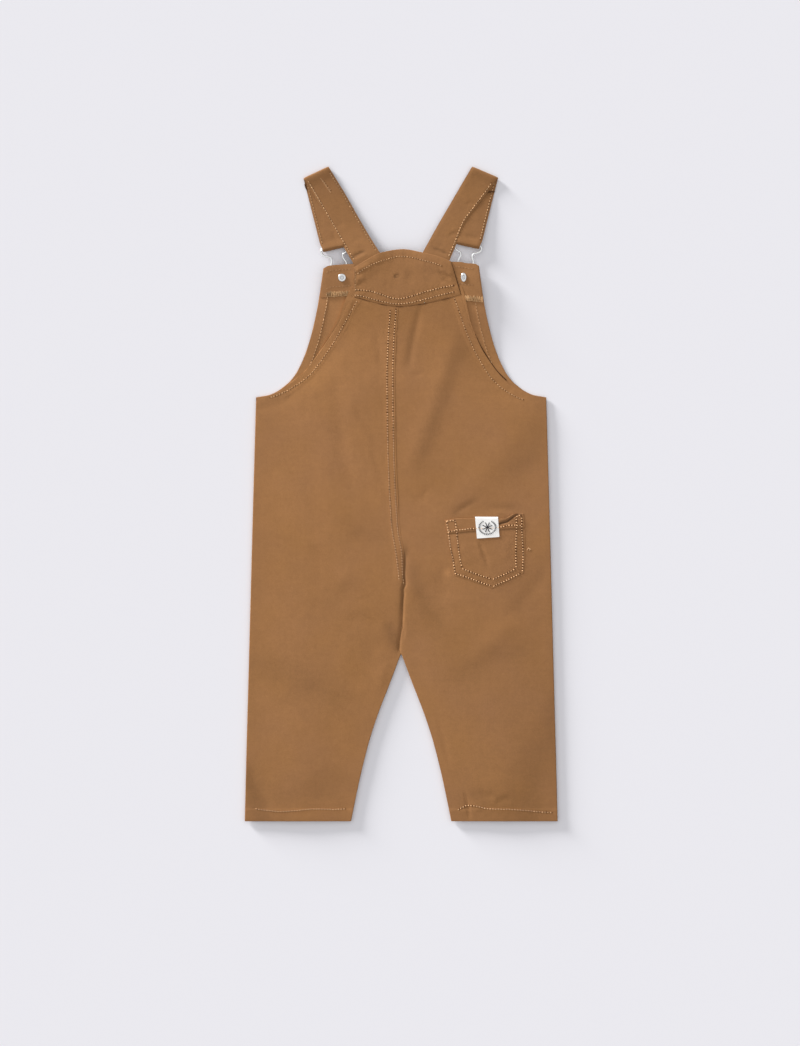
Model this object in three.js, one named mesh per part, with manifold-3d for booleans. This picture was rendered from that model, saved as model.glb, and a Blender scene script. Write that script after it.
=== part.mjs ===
// A toddler's dungarees, laid flat on their front with the back side up.
// Units are millimetres, +Z is up and +Y runs from the leg hems to the straps.
// The surface they lie on is z = 0, and the origin is the middle of that footprint.
// Panels are worked out in x and h, where h is the height above the leg hems.

import * as THREE from 'three';
import { mergeVertices } from 'three/addons/utils/BufferGeometryUtils.js';
import Module from 'manifold-3d';

// ---- driving dimensions ----

const LENGTH = 618.5;          // leg hems to the folds of the straps
const CROTCH = 157.8;          // height of the crotch above the hems
const ARM_CORNER = 400.3;      // height where side seam and armhole meet
const WALL = 1.0;              // one layer of twill
const GAP = 0.3;               // air between pieces that are sewn together
const LAP_GAP = 0.5;           // air between broad layers that lie on each other
const YOKE_WALL = 1.4;         // two layers of twill
const STRAP_WALL = 1.6;        // a folded strap
const STRAP_WIDTH = 25;
const STRAP_TUCK = 7;          // length of strap sewn in under the yoke
const LEG_HEM = 11.5;          // turned-up leg hem
const ARM_HEM = 8.8;           // turned-in armhole hem
const SEAM_BAND = 8.8;         // seam allowance turned to the left at the centre back
const SEAM_BAND_FOOT = 222;    // height where that band ends
const PANEL_TUCK = 8;          // how far the back panels run up under the yoke
const SEAM_CURL = 0.9;         // how far the front rises to the back along the sewn edges
const EDGE_PUFF = 1.1;         // how far the back rises off its edges
const BODY_PUFF = 0.9;         // and how much more in the middle of the body
const YOKE_PUFF = 0.5;         // what is left of that under the yoke
const SLOPE_GAP = 0.15;        // more air between the layers on the slopes over the hardware
const HEM_EXTRA = 0.4;         // extra wall of a leg hem
const ARM_EXTRA = 0.35;        // extra wall of an armhole hem
const BAND_EXTRA = 0.7;        // extra wall of the seam allowance
const HARDWARE_LIFT = 4.8;     // height of the bib above the floor over the buttons
const LIFT_CORE = 10.5;        // the lift is full within this distance of the hardware
const LIFT_FADE = 80;          // and fades out over this one
const BUTTON_RADIUS = 8;
const BUTTON_THICKNESS = 2.4;
const NECK_RADIUS = 2.4;
const NAIL_RADIUS = 1.1;
const NAIL_HOLE_RADIUS = 1.5;
const TACK_THICKNESS = 1.1;
const WIRE_RADIUS = 0.9;
const BAR_HALF_WIDTH = 12.1;
const POCKET_HEM = 12;
const POCKET_GAP = 0.4;
const LABEL_GAP = 0.35;
const FOOT_NARROWING = 0.08;   // share of its width that a strap loses at the buckle's bar
const FOLD_SHARE = 0.022;      // share of a strap's upper run that its fold takes up
const TUCKED_HALF = 0.6;       // half thickness of a strap where the yoke presses on it
const PANEL_TOP = 495;         // height of a back panel's last row before it bends to the yoke
const BUCKLE_REACH = 541;      // height that the hardware's lift reaches up to
const BIB_BEND = 486;          // rows above this bend to the slope of the bib's top
const BIB_ROW_TOP = 521;
const FACING_ROWS = [493, 500, 507, 514, BIB_ROW_TOP];

// ---- outlines ----

// Half width of the trousers at the side seam.
const SIDE = [
  { h: 0, x: 147.7 },
  { h: 65, x: 146.1 },
  { h: 150, x: 143.8 },
  { h: 230, x: 141.7 },
  { h: 290, x: 140.1 },
  { h: ARM_CORNER, x: 137 },
];

// Half width of the gap between the legs.
const INSEAM = [
  { h: 0, x: 47.3 },
  { h: 41, x: 38.8 },
  { h: 76, x: 30 },
  { h: 102, x: 21.5 },
  { h: 131, x: 10.3 },
  { h: CROTCH, x: 0.3 },
];

// Half width of the bib along the front armholes.
const FRONT_ARM = [
  { h: ARM_CORNER, x: 137 },
  { h: 401.1, x: 132.2 },
  { h: 402.3, x: 125.5 },
  { h: 404.3, x: 120.2 },
  { h: 407, x: 115.4 },
  { h: 411, x: 110 },
  { h: 415.5, x: 104.9 },
  { h: 424, x: 98.6 },
  { h: 442, x: 90.3 },
  { h: 465, x: 83.4 },
  { h: 488, x: 78.5 },
  { h: 524, x: 73.1 },
  { h: 530, x: 72.5 },
];

// The back armholes, which the yoke cuts off at the top.
const BACK_ARM_LEFT = [
  { h: ARM_CORNER, x: 137 },
  { h: 401.1, x: 131.6 },
  { h: 402.2, x: 125 },
  { h: 405.9, x: 115.2 },
  { h: 415.3, x: 103.1 },
  { h: 425.3, x: 90.9 },
  { h: 438.5, x: 80.5 },
  { h: 450.8, x: 72 },
  { h: 470.6, x: 58.9 },
  { h: 483.1, x: 53.4 },
  { h: 491.4, x: 49.3 },
  { h: 495.2, x: 45.6 },
  { h: 506, x: 44.4 },
];

const BACK_ARM_RIGHT = [
  { h: ARM_CORNER, x: 137 },
  { h: 401.1, x: 131.8 },
  { h: 402.3, x: 124.6 },
  { h: 407.3, x: 111.4 },
  { h: 411.6, x: 103.7 },
  { h: 420, x: 94.7 },
  { h: 432.4, x: 85 },
  { h: 448.4, x: 74.6 },
  { h: 469.9, x: 64.5 },
  { h: 478.9, x: 62.1 },
  { h: 490.7, x: 58.6 },
  { h: 495.2, x: 56.9 },
  { h: 506, x: 53 },
];

// The centre-back seam wanders, as the two panels don't lie quite straight.
const BACK_SEAM = [
  { h: CROTCH, x: 0 },
  { h: 200.3, x: 1 },
  { h: 236.7, x: 2.6 },
  { h: 252.8, x: 2.2 },
  { h: 273.1, x: -0.8 },
  { h: 314.7, x: -3.4 },
  { h: 355.3, x: -4.9 },
  { h: 420, x: -5.6 },
  { h: 456.2, x: -4.5 },
  { h: 485.9, x: -2.3 },
  { h: 506, x: -1.6 },
];

// Edges that are read across the garment: height against x.
const BIB_TOP = [
  { x: -73.4, h: 521.6 },
  { x: -68.5, h: 524.2 },
  { x: -45.2, h: 526.1 },
  { x: 0, h: 528.2 },
  { x: 54, h: 528 },
  { x: 62, h: 526.7 },
  { x: 70, h: 526 },
  { x: 73.4, h: 524 },
];

const FACING_FOOT = [
  { x: -80, h: 494 },
  { x: -50, h: 495.5 },
  { x: 0, h: 494 },
  { x: 80, h: 490 },
];

const YOKE_FOOT = [
  { x: -44.8, h: 495.2 },
  { x: -14, h: 487.3 },
  { x: -2.4, h: 485.9 },
  { x: 18.8, h: 488.2 },
  { x: 57.3, h: 496.9 },
];

const YOKE_TOP = [
  { x: -45, h: 522.1 },
  { x: -31, h: 530.6 },
  { x: -19.8, h: 536.3 },
  { x: 1.5, h: 539.8 },
  { x: 20.3, h: 536.6 },
  { x: 35, h: 533 },
  { x: 47.2, h: 528.2 },
];

const YOKE_SIDES = { footLeft: -45, footRight: 57.1, topLeft: -45, topRight: 47.4 };

// The pocket's corners, its mouth and the point at its foot.
const POCKET_MOUTH = [
  { u: 0, x: 41.1, h: 284.1 },
  { u: 0.18, x: 52.8, h: 285.9 },
  { u: 0.75, x: 98.3, h: 285.7 },
  { u: 0.87, x: 105.8, h: 290.2 },
  { u: 1, x: 115.2, h: 290.7 },
];
const POCKET_FOOT = [
  { u: 0, x: 49.5, h: 232.2 },
  { u: 0.5625, x: 86.5, h: 219.6 },
  { u: 1, x: 115.7, h: 234.1 },
];
const POCKET_BOW = 1.6;        // how far the pocket's sides bow outwards

const LABEL = {
  foot: { x: 71.5, h: 266.9 },
  footRight: { x: 92.7, h: 268.4 },
  top: { x: 69.7, h: 287.4 },
  topRight: { x: 91.3, h: 287.3 },
};

// The large soft folds of the back: a trough from one end to the other, with
// a low ridge beside it. A positive side puts the ridge on the left of its run.
const FOLDS = [
  { x0: 17, h0: 478, x1: 7, h1: 424, width: 8, depth: 0.7, ridge: 0.5, side: 1 },
  { x0: 53, h0: 452, x1: 32, h1: 374, width: 10, depth: 1.1, ridge: 0.6, side: -1 },
  { x0: 32, h0: 378, x1: -2, h1: 296, width: 12, depth: 0.9, ridge: 0.5, side: -1 },
  { x0: 126, h0: 376, x1: 46, h1: 294, width: 18, depth: 1.1, ridge: 0.7, side: -1 },
  { x0: 8, h0: 256, x1: 6, h1: 212, width: 7, depth: 1.0, ridge: 0.4, side: 1 },
  { x0: 128, h0: 166, x1: 28, h1: 122, width: 13, depth: 0.9, ridge: 0.6, side: 1 },
  { x0: 129, h0: 230, x1: 104, h1: 196, width: 10, depth: 0.6, ridge: 0.4, side: 1 },
  { x0: 134, h0: 106, x1: 103, h1: 22, width: 16, depth: 1.0, ridge: 0.5, side: -1 },
  { x0: -71, h0: 414, x1: -56, h1: 340, width: 11, depth: 0.8, ridge: 0.5, side: 1 },
  { x0: -56, h0: 342, x1: -22, h1: 300, width: 11, depth: 0.7, ridge: 0.5, side: 1 },
  { x0: -52, h0: 413, x1: -18, h1: 342, width: 9, depth: 0.7, ridge: 0.4, side: 1 },
  { x0: -52, h0: 280, x1: -15, h1: 256, width: 10, depth: 0.7, ridge: 0.5, side: 1 },
  { x0: -112, h0: 148, x1: -46, h1: 119, width: 12, depth: 0.9, ridge: 0.6, side: 1 },
  { x0: -104, h0: 30, x1: -56, h1: 52, width: 10, depth: 0.6, ridge: 0.5, side: 1 },
  { x0: -19, h0: 186, x1: -3, h1: 162, width: 8, depth: 0.7, ridge: 0.4, side: 1 },
];

// Each strap: the edges of its upper run from the yoke to the fold, the foot
// of its lower run, and the button that its buckle hooks on.
const STRAPS = {
  left: {
    upper: [
      { t: 0, leftX: -45.4, leftH: 526.6, rightX: -20.6, rightH: 537.2 },
      { t: 0.2, leftX: -54.7, leftH: 542.7, rightX: -30.7, rightH: 553.5 },
      { t: 0.4, leftX: -64, leftH: 558.7, rightX: -40.1, rightH: 569.7 },
      { t: 0.7, leftX: -77.9, leftH: 582.8, rightX: -53.8, rightH: 593.9 },
      { t: 1, leftX: -91.8, leftH: 606.9, rightX: -68.7, rightH: 618.2 },
    ],
    fold: { leftX: -92.6, leftH: 607.2, rightX: -68.7, rightH: 618.5 },
    foot: { leftX: -74.6, leftH: 536.8, rightX: -50.4, rightH: 542.5 },
    button: { x: -55.8, h: 512.9 },
  },
  right: {
    upper: [
      { t: 0, leftX: 20.3, leftH: 536.6, rightX: 46.2, rightH: 530.6 },
      { t: 0.2, leftX: 29.2, leftH: 553, rightX: 53.2, rightH: 547.4 },
      { t: 0.4, leftX: 38.5, leftH: 569.4, rightX: 60.3, rightH: 565.6 },
      { t: 0.6, leftX: 48, leftH: 585.7, rightX: 71.2, rightH: 580.2 },
      { t: 0.8, leftX: 57.5, leftH: 602.1, rightX: 82, rightH: 594.2 },
      { t: 1, leftX: 67, leftH: 618.2, rightX: 91.2, rightH: 607.6 },
    ],
    fold: { leftX: 67.1, leftH: 618.5, rightX: 91.9, rightH: 607.9 },
    foot: { leftX: 50.4, leftH: 545, rightX: 74.6, rightH: 539.7 },
    button: { x: 58.9, h: 513.2 },
  },
};

// Height of the lower run's underside against the distance from the buckle's bar.
const RUN_REST = [
  { s: 0, z: 4 },
  { s: 3, z: 3.9 },
  { s: 10, z: 1.95 },
  { s: 20, z: 1.95 },
  { s: 28, z: 0 },
  { s: 90, z: 0 },
];
const TAB_LENGTH = 19;

// Half width of the buckle's wire against the distance from its bar. The wire
// narrows to a waist below the bar, opens, and closes round the button's neck.
const BUCKLE_SHAPE = [
  { s: 1.2, half: 13.1 },
  { s: 4.5, half: 12.8 },
  { s: 7, half: 10.3 },
  { s: 9, half: 6.2 },
  { s: 12, half: 5.6 },
  { s: 17, half: 7.3 },
  { s: 22, half: 7.2 },
  { s: 26.5, half: 5.2 },
];

// ---- small helpers ----

const clamp01 = (t) => Math.min(1, Math.max(0, t));
const smooth = (t) => {
  const c = clamp01(t);
  return c * c * (3 - 2 * c);
};
const mix = (a, b, t) => a + (b - a) * t;
const bell = (d, width) => Math.exp(-((d / width) ** 2));

// Reads a table as a monotone smooth curve: no overshoot between its rows.
function readCurve(table, from, to, at) {
  const last = table.length - 1;
  const t = Math.min(table[last][from], Math.max(table[0][from], at));
  let k = 0;
  while (k < last - 1 && t > table[k + 1][from]) k += 1;
  const slope = (i) => (table[i + 1][to] - table[i][to]) / (table[i + 1][from] - table[i][from]);
  const tangent = (i) => {
    if (i === 0) return slope(0);
    if (i === last) return slope(last - 1);
    const a = slope(i - 1);
    const b = slope(i);
    return a * b <= 0 ? 0 : (2 * a * b) / (a + b);
  };
  const span = table[k + 1][from] - table[k][from];
  const s = (t - table[k][from]) / span;
  const rise = table[k + 1][to] - table[k][to];
  const m0 = tangent(k) * span;
  const m1 = tangent(k + 1) * span;
  return table[k][to] + m0 * s + (3 * rise - 2 * m0 - m1) * s * s + (m0 + m1 - 2 * rise) * s ** 3;
}

// Reads a table as straight stretches.
function readStraight(table, from, to, at) {
  let k = 0;
  while (k < table.length - 2 && at > table[k + 1][from]) k += 1;
  const s = clamp01((at - table[k][from]) / (table[k + 1][from] - table[k][from]));
  return mix(table[k][to], table[k + 1][to], s);
}

// Distance from a point to a segment, where along it, and on which side.
function toSegment(x, h, x0, h0, x1, h1) {
  const dx = x1 - x0;
  const dh = h1 - h0;
  const length = Math.hypot(dx, dh);
  const t = clamp01(((x - x0) * dx + (h - h0) * dh) / (length * length));
  const across = ((h - h0) * dx - (x - x0) * dh) / length;
  return { distance: Math.hypot(x - x0 - t * dx, h - h0 - t * dh), t, across };
}

function toPolyline(x, h, points) {
  let nearest = Infinity;
  for (let i = 0; i + 1 < points.length; i += 1) {
    const a = points[i];
    const b = points[i + 1];
    nearest = Math.min(nearest, toSegment(x, h, a.x, a.h, b.x, b.h).distance);
  }
  return nearest;
}

// ---- closed solids from grids ----

// A closed body between two grids of points that share their layout: rows run
// up the garment, columns run across it, and outer is the side that faces up.
function solidFromGrids(outer, inner) {
  const rows = outer.length;
  const cols = outer[0].length;
  const positions = [...outer.flat(), ...inner.flat()].flatMap((p) => [p.x, p.y, p.z]);
  const layer = rows * cols;
  const at = (j, i) => j * cols + i;
  const index = [];
  for (let j = 0; j + 1 < rows; j += 1) {
    for (let i = 0; i + 1 < cols; i += 1) {
      const a = at(j, i);
      const b = at(j, i + 1);
      const c = at(j + 1, i + 1);
      const d = at(j + 1, i);
      index.push(a, b, c, a, c, d);
      index.push(layer + a, layer + c, layer + b, layer + a, layer + d, layer + c);
    }
  }
  const rim = [];
  for (let i = 0; i < cols - 1; i += 1) rim.push(at(0, i));
  for (let j = 0; j < rows - 1; j += 1) rim.push(at(j, cols - 1));
  for (let i = cols - 1; i > 0; i -= 1) rim.push(at(rows - 1, i));
  for (let j = rows - 1; j > 0; j -= 1) rim.push(at(j, 0));
  rim.forEach((a, k) => {
    const b = rim[(k + 1) % rim.length];
    index.push(layer + a, layer + b, b, layer + a, b, a);
  });
  const geometry = new THREE.BufferGeometry();
  geometry.setAttribute('position', new THREE.Float32BufferAttribute(positions, 3));
  geometry.setIndex(index);
  return geometry;
}

const place = (x, h, z) => new THREE.Vector3(x, h - LENGTH / 2, z);

// A wall of cloth over a grid of {x, h} points, between two height functions.
function clothWall(grid, lower, upper) {
  const lift = (height) => grid.map((row) => row.map((p) => place(p.x, p.h, height(p.x, p.h))));
  return solidFromGrids(lift(upper), lift(lower));
}

// Heights of the rows of a leg panel, closer together where its outline bends.
function panelRows(top) {
  const stretches = [
    { to: LEG_HEM - 1, rows: 2 },
    { to: LEG_HEM + 1, rows: 1 },
    { to: CROTCH, rows: 9 },
    { to: ARM_CORNER - 3, rows: 15 },
    { to: ARM_CORNER, rows: 1 },
    { to: 413, rows: 5 },
    { to: 432, rows: 3 },
    { to: 486, rows: 5 },
    { to: top, rows: 2 },
  ];
  const heights = [0];
  for (const { to, rows } of stretches) {
    const from = heights[heights.length - 1];
    for (let k = 1; k <= rows; k += 1) heights.push(mix(from, to, k / rows));
  }
  return heights;
}

// Columns at fixed distances from both edges, and evenly spread between them.
function panelColumns(left, right, fromLeft, spread, fromRight) {
  const a = left + fromLeft[fromLeft.length - 1];
  const b = right - fromRight[0];
  const xs = [left, ...fromLeft.map((d) => left + d)];
  for (let k = 1; k < spread; k += 1) xs.push(mix(a, b, k / spread));
  xs.push(...fromRight.map((d) => right - d), right);
  return xs;
}

// ---- what lifts and shapes the layers ----

// Distance to the line that runs down one buckle, across both buttons and up the
// other buckle: the cloth is stretched over it.
const footMiddle = ({ foot }) => ({ x: (foot.leftX + foot.rightX) / 2, h: BUCKLE_REACH });
const HARDWARE_LINE = [
  footMiddle(STRAPS.left),
  STRAPS.left.button,
  STRAPS.right.button,
  footMiddle(STRAPS.right),
];
const toHardware = (x, h) => toPolyline(x, h, HARDWARE_LINE);

// Height that the buttons and buckles give to the cloth above them.
const hardwareLift = (x, h) =>
  HARDWARE_LIFT * (1 - smooth((toHardware(x, h) - LIFT_CORE) / LIFT_FADE));

// Distance to the sewn edges, where front and back meet.
function toSewnEdge(x, h) {
  const across = Math.abs(x);
  return Math.min(toPolyline(across, h, SIDE), toPolyline(across, h, INSEAM));
}

const frontHalfWidth = (h) =>
  h < ARM_CORNER ? readCurve(SIDE, 'h', 'x', h) : readCurve(FRONT_ARM, 'h', 'x', h);
const bibTop = (x) => readCurve(BIB_TOP, 'x', 'h', x);
const facingFoot = (x) => readCurve(FACING_FOOT, 'x', 'h', x);
const yokeFoot = (x) => readCurve(YOKE_FOOT, 'x', 'h', x);
const yokeTop = (x) => readCurve(YOKE_TOP, 'x', 'h', x);

// The front lies on the floor, curls up to meet the back along the sewn edges
// and climbs over the hardware at the bib's corners.
function frontLower(x, h) {
  const curl = SEAM_CURL * (1 - smooth(toSewnEdge(x, h) / 7));
  const below = 1 - smooth((h - ARM_CORNER) / 25);
  return curl * below + hardwareLift(x, h);
}

const legHem = (h) => 1 - smooth((h - LEG_HEM + 1) / 2);
const frontUpper = (x, h) => frontLower(x, h) + WALL + HEM_EXTRA * legHem(h);

const facingLower = (x, h) => frontUpper(x, h) + LAP_GAP;
const facingUpper = (x, h) => facingLower(x, h) + WALL;

// The top of everything that the back lies on.
function stackTop(x, h) {
  const overFacing = smooth((h - facingFoot(x) + 9) / 7);
  return frontUpper(x, h) + (LAP_GAP + WALL) * overFacing;
}

// Height of the soft folds at a point.
function foldHeight(x, h) {
  let sum = 0;
  for (const f of FOLDS) {
    const near = toSegment(x, h, f.x0, f.h0, f.x1, f.h1);
    const beyond = Math.sqrt(Math.max(0, near.distance ** 2 - near.across ** 2));
    const ends = bell(beyond, f.width) * (0.45 + 0.55 * Math.sin(Math.PI * near.t));
    const ridge = f.ridge * bell(near.across - f.side * 1.7 * f.width, 1.2 * f.width);
    sum += ends * (ridge - f.depth * bell(near.across, f.width));
  }
  return sum;
}

const toBackArm = (x, h) => toPolyline(Math.abs(x), h, x < 0 ? BACK_ARM_LEFT : BACK_ARM_RIGHT);

// How far the back stands off what is under it: nothing at its edges, more in
// the middle of the body, and little again where the yoke holds it down.
function backPuff(x, h) {
  const edge = Math.min(toSewnEdge(x, h), toBackArm(x, h));
  const body = EDGE_PUFF * smooth(edge / 11) + BODY_PUFF * smooth(edge / 55);
  const overHardware = SLOPE_GAP * (1 - smooth((toHardware(x, h) - LIFT_CORE - LIFT_FADE) / 14));
  const free = Math.max(0, body + foldHeight(x, h) * smooth(edge / 25)) + overHardware;
  return mix(free, YOKE_PUFF, smooth((h - yokeFoot(x) + 26) / 20));
}

const backLower = (x, h) => stackTop(x, h) + GAP + backPuff(x, h);

// Turned-in edges and the seam allowance make the wall thicker in bands.
function backUpper(x, h) {
  const belowYoke = 1 - smooth((h - yokeFoot(x) + 2.5) / 2);
  const inArmHem = h < ARM_CORNER - ARM_HEM ? 0 : 1 - smooth((toBackArm(x, h) - ARM_HEM + 0.5) / 1.5);
  const toSeam = readCurve(BACK_SEAM, 'h', 'x', h) - x;
  const inBand = toSeam > 0 ? 1 - smooth((toSeam - SEAM_BAND + 0.6) / 1.2) : 0;
  const extra = ARM_EXTRA * inArmHem + BAND_EXTRA * inBand * smooth((h - SEAM_BAND_FOOT) / 6);
  return backLower(x, h) + WALL + extra * belowYoke + HEM_EXTRA * legHem(h);
}

// ---- trousers and bib ----

// One row of points across a front panel. Its last rows bend to the bib's top.
function frontRow(side, h) {
  const inner = h < CROTCH ? side * readCurve(INSEAM, 'h', 'x', h) : 0.15 * side;
  const outer = side * frontHalfWidth(h);
  const xs = side < 0
    ? panelColumns(outer, inner, [3.5, 8], 5, [5])
    : panelColumns(inner, outer, [5], 5, [8, 3.5]);
  const bend = smooth((h - BIB_BEND) / (BIB_ROW_TOP - BIB_BEND));
  return xs.map((x) => ({ x, h: h + bend * (bibTop(x) - BIB_ROW_TOP) }));
}

function frontPanel(side) {
  const heights = [...panelRows(BIB_BEND).filter((h) => h < FACING_ROWS[0]), ...FACING_ROWS];
  return clothWall(heights.map((h) => frontRow(side, h)), frontLower, frontUpper);
}

// The facing lies on both front panels and is made from their rows of points.
function bibFacing() {
  const bothFronts = (h) => [...frontRow(-1, h).slice(0, -1), ...frontRow(1, h).slice(1)];
  const inset = (row) => row.map((p, i) => {
    const edge = i === 0 ? 0.8 : i === row.length - 1 ? -0.8 : 0;
    return { x: p.x + edge, h: p.h };
  });
  const foot = bothFronts(FACING_ROWS[0]).map((p) => ({ x: p.x, h: facingFoot(p.x) }));
  const rows = [foot, ...FACING_ROWS.slice(1).map(bothFronts)];
  const last = rows.length - 1;
  rows[last] = rows[last].map((p) => ({ x: p.x, h: p.h - 0.4 }));
  return clothWall(rows.map(inset), facingLower, facingUpper);
}

function backPanel(side) {
  const grid = panelRows(PANEL_TOP).map((h) => {
    const seam = readCurve(BACK_SEAM, 'h', 'x', h) + 0.15 * side;
    const inner = h < CROTCH ? side * readCurve(INSEAM, 'h', 'x', h) : seam;
    const arm = side < 0 ? BACK_ARM_LEFT : BACK_ARM_RIGHT;
    const outer = side * readCurve(h < ARM_CORNER ? SIDE : arm, 'h', 'x', h);
    const left = Math.min(inner, outer);
    const right = Math.max(inner, outer);
    const xs = side < 0
      ? panelColumns(left, right, [1.5, 9.3], 8, [9.3, 8])
      : panelColumns(left, right, [4], 9, [9.3, 1.5]);
    return xs.map((x) => {
      const bend = smooth((h - 440) / (PANEL_TOP - 440));
      return { x, h: h + bend * (yokeFoot(x) + PANEL_TUCK - PANEL_TOP) };
    });
  });
  return clothWall(grid, backLower, backUpper);
}

// ---- yoke ----

// Extra height of the yoke over the sewn-in ends of the straps.
function strapBump(x, h) {
  const below = yokeTop(x) - h;
  const depth = 1 - smooth((below - 9.5) / 6);
  const left = smooth((-11 - x) / 4) * smooth((x + 60) / 4);
  const right = smooth((x - 12) / 4);
  return (2 * TUCKED_HALF + LAP_GAP + 0.15) * depth * Math.max(left, right);
}

function yokeLower(x, h) {
  const overPanels = 1 - smooth((h - yokeFoot(x) - PANEL_TUCK - 0.8) / 5);
  const beyondBib = smooth((h - bibTop(x) - 1) / 8);
  const base = stackTop(x, Math.min(h, bibTop(x))) + GAP + 0.5;
  return base + (WALL + LAP_GAP + 0.1) * overPanels + strapBump(x, h) - 0.7 * beyondBib;
}
const yokeUpper = (x, h) => yokeLower(x, h) + YOKE_WALL;

function backYoke() {
  const cols = 20;
  const grid = [0, 0.12, 0.24, 0.33, 0.44, 0.56, 0.66, 0.76, 0.86, 0.94, 1].map((v) => {
    const row = [];
    for (let i = 0; i <= cols; i += 1) {
      const u = i / cols;
      const footX = mix(YOKE_SIDES.footLeft, YOKE_SIDES.footRight, u);
      const topX = mix(YOKE_SIDES.topLeft, YOKE_SIDES.topRight, u);
      row.push({ x: mix(footX, topX, v), h: mix(yokeFoot(footX), yokeTop(topX), v) });
    }
    return row;
  });
  return clothWall(grid, yokeLower, yokeUpper);
}

// ---- pocket and label ----

const pocketLower = (x, h) => backUpper(x, h) + POCKET_GAP;
const pocketMouth = (x) => readStraight(POCKET_MOUTH, 'x', 'h', x);
function pocketUpper(x, h) {
  const hem = smooth((h - pocketMouth(x) + POCKET_HEM + 0.8) / 1.6);
  return pocketLower(x, h) + WALL + 0.5 * hem;
}

function pocket() {
  const cols = 16;
  const grid = [0, 0.2, 0.4, 0.6, 0.755, 0.79, 0.9, 1].map((v) => {
    const row = [];
    for (let i = 0; i <= cols; i += 1) {
      const u = i / cols;
      const between = (to) =>
        mix(readStraight(POCKET_FOOT, 'u', to, u), readStraight(POCKET_MOUTH, 'u', to, u), v);
      const bow = POCKET_BOW * (2 * u - 1) * Math.sin(Math.PI * v) * smooth((u - 0.5) * 2);
      row.push({ x: between('x') + bow, h: between('h') });
    }
    return row;
  });
  return clothWall(grid, pocketLower, pocketUpper);
}

// The label lies on the pocket and laps over its mouth on to the panel.
function label() {
  const cols = 4;
  const edge = (x) => pocketMouth(x) + 0.3;
  const onPocket = (x, h) => pocketUpper(x, Math.min(h, pocketMouth(x))) + LABEL_GAP;
  const lower = (x, h) => (h > edge(x) + 0.05 ? backUpper(x, h) + POCKET_GAP : onPocket(x, h));
  const upper = (x, h) => onPocket(x, h) + WALL - 0.5 * smooth((h - edge(x)) / 1.4);
  const grid = [0, 0.25, 0.5, 0.75].map((v) => {
    const row = [];
    for (let i = 0; i <= cols; i += 1) {
      const u = i / cols;
      const footX = mix(LABEL.foot.x, LABEL.footRight.x, u);
      const footH = mix(LABEL.foot.h, LABEL.footRight.h, u);
      const topX = mix(LABEL.top.x, LABEL.topRight.x, u);
      const topH = mix(LABEL.top.h, LABEL.topRight.h, u);
      row.push({ x: mix(footX, topX, v), h: mix(footH, topH, v) });
    }
    return row;
  });
  for (const beyond of [0, 0.1]) {
    grid.push(grid[3].map((p, i) => {
      const x = mix(LABEL.top.x, LABEL.topRight.x, i / cols);
      return { x, h: edge(x) + beyond };
    }));
  }
  grid.push(grid[3].map((p, i) => {
    const x = mix(LABEL.top.x, LABEL.topRight.x, i / cols);
    return { x, h: mix(LABEL.top.h, LABEL.topRight.h, i / cols) };
  }));
  return clothWall(grid, lower, upper);
}

// ---- straps ----

// The lower run's own axes: from the buckle's bar up to the fold.
function lowerRun(strap) {
  const footX = (strap.foot.leftX + strap.foot.rightX) / 2;
  const footH = (strap.foot.leftH + strap.foot.rightH) / 2;
  const foldX = (strap.fold.leftX + strap.fold.rightX) / 2;
  const foldH = (strap.fold.leftH + strap.fold.rightH) / 2;
  const length = Math.hypot(foldX - footX, foldH - footH);
  const up = { x: (foldX - footX) / length, h: (foldH - footH) / length };
  return { footX, footH, up, across: { x: up.h, h: -up.x }, length };
}

// What the upper run lies on: the bib, the lower run, or the floor.
function upperRunRest(strap, x, h) {
  const run = lowerRun(strap);
  const s = (x - run.footX) * run.up.x + (h - run.footH) * run.up.h;
  const across = Math.abs((x - run.footX) * run.across.x + (h - run.footH) * run.across.h);
  const outside = Math.max(across - STRAP_WIDTH / 2 - 2, -2 - s, 0);
  const runTop = readStraight(RUN_REST, 's', 'z', Math.max(0, s)) + STRAP_WALL + 2 * GAP;
  const onRun = runTop * (1 - smooth(outside / 12));
  const bib = stackTop(x, Math.min(h, bibTop(x))) + LAP_GAP;
  const onBib = bib * (1 - smooth((h - bibTop(x) - 8) / 26));
  return Math.max(onRun, onBib, 0.3);
}

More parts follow.
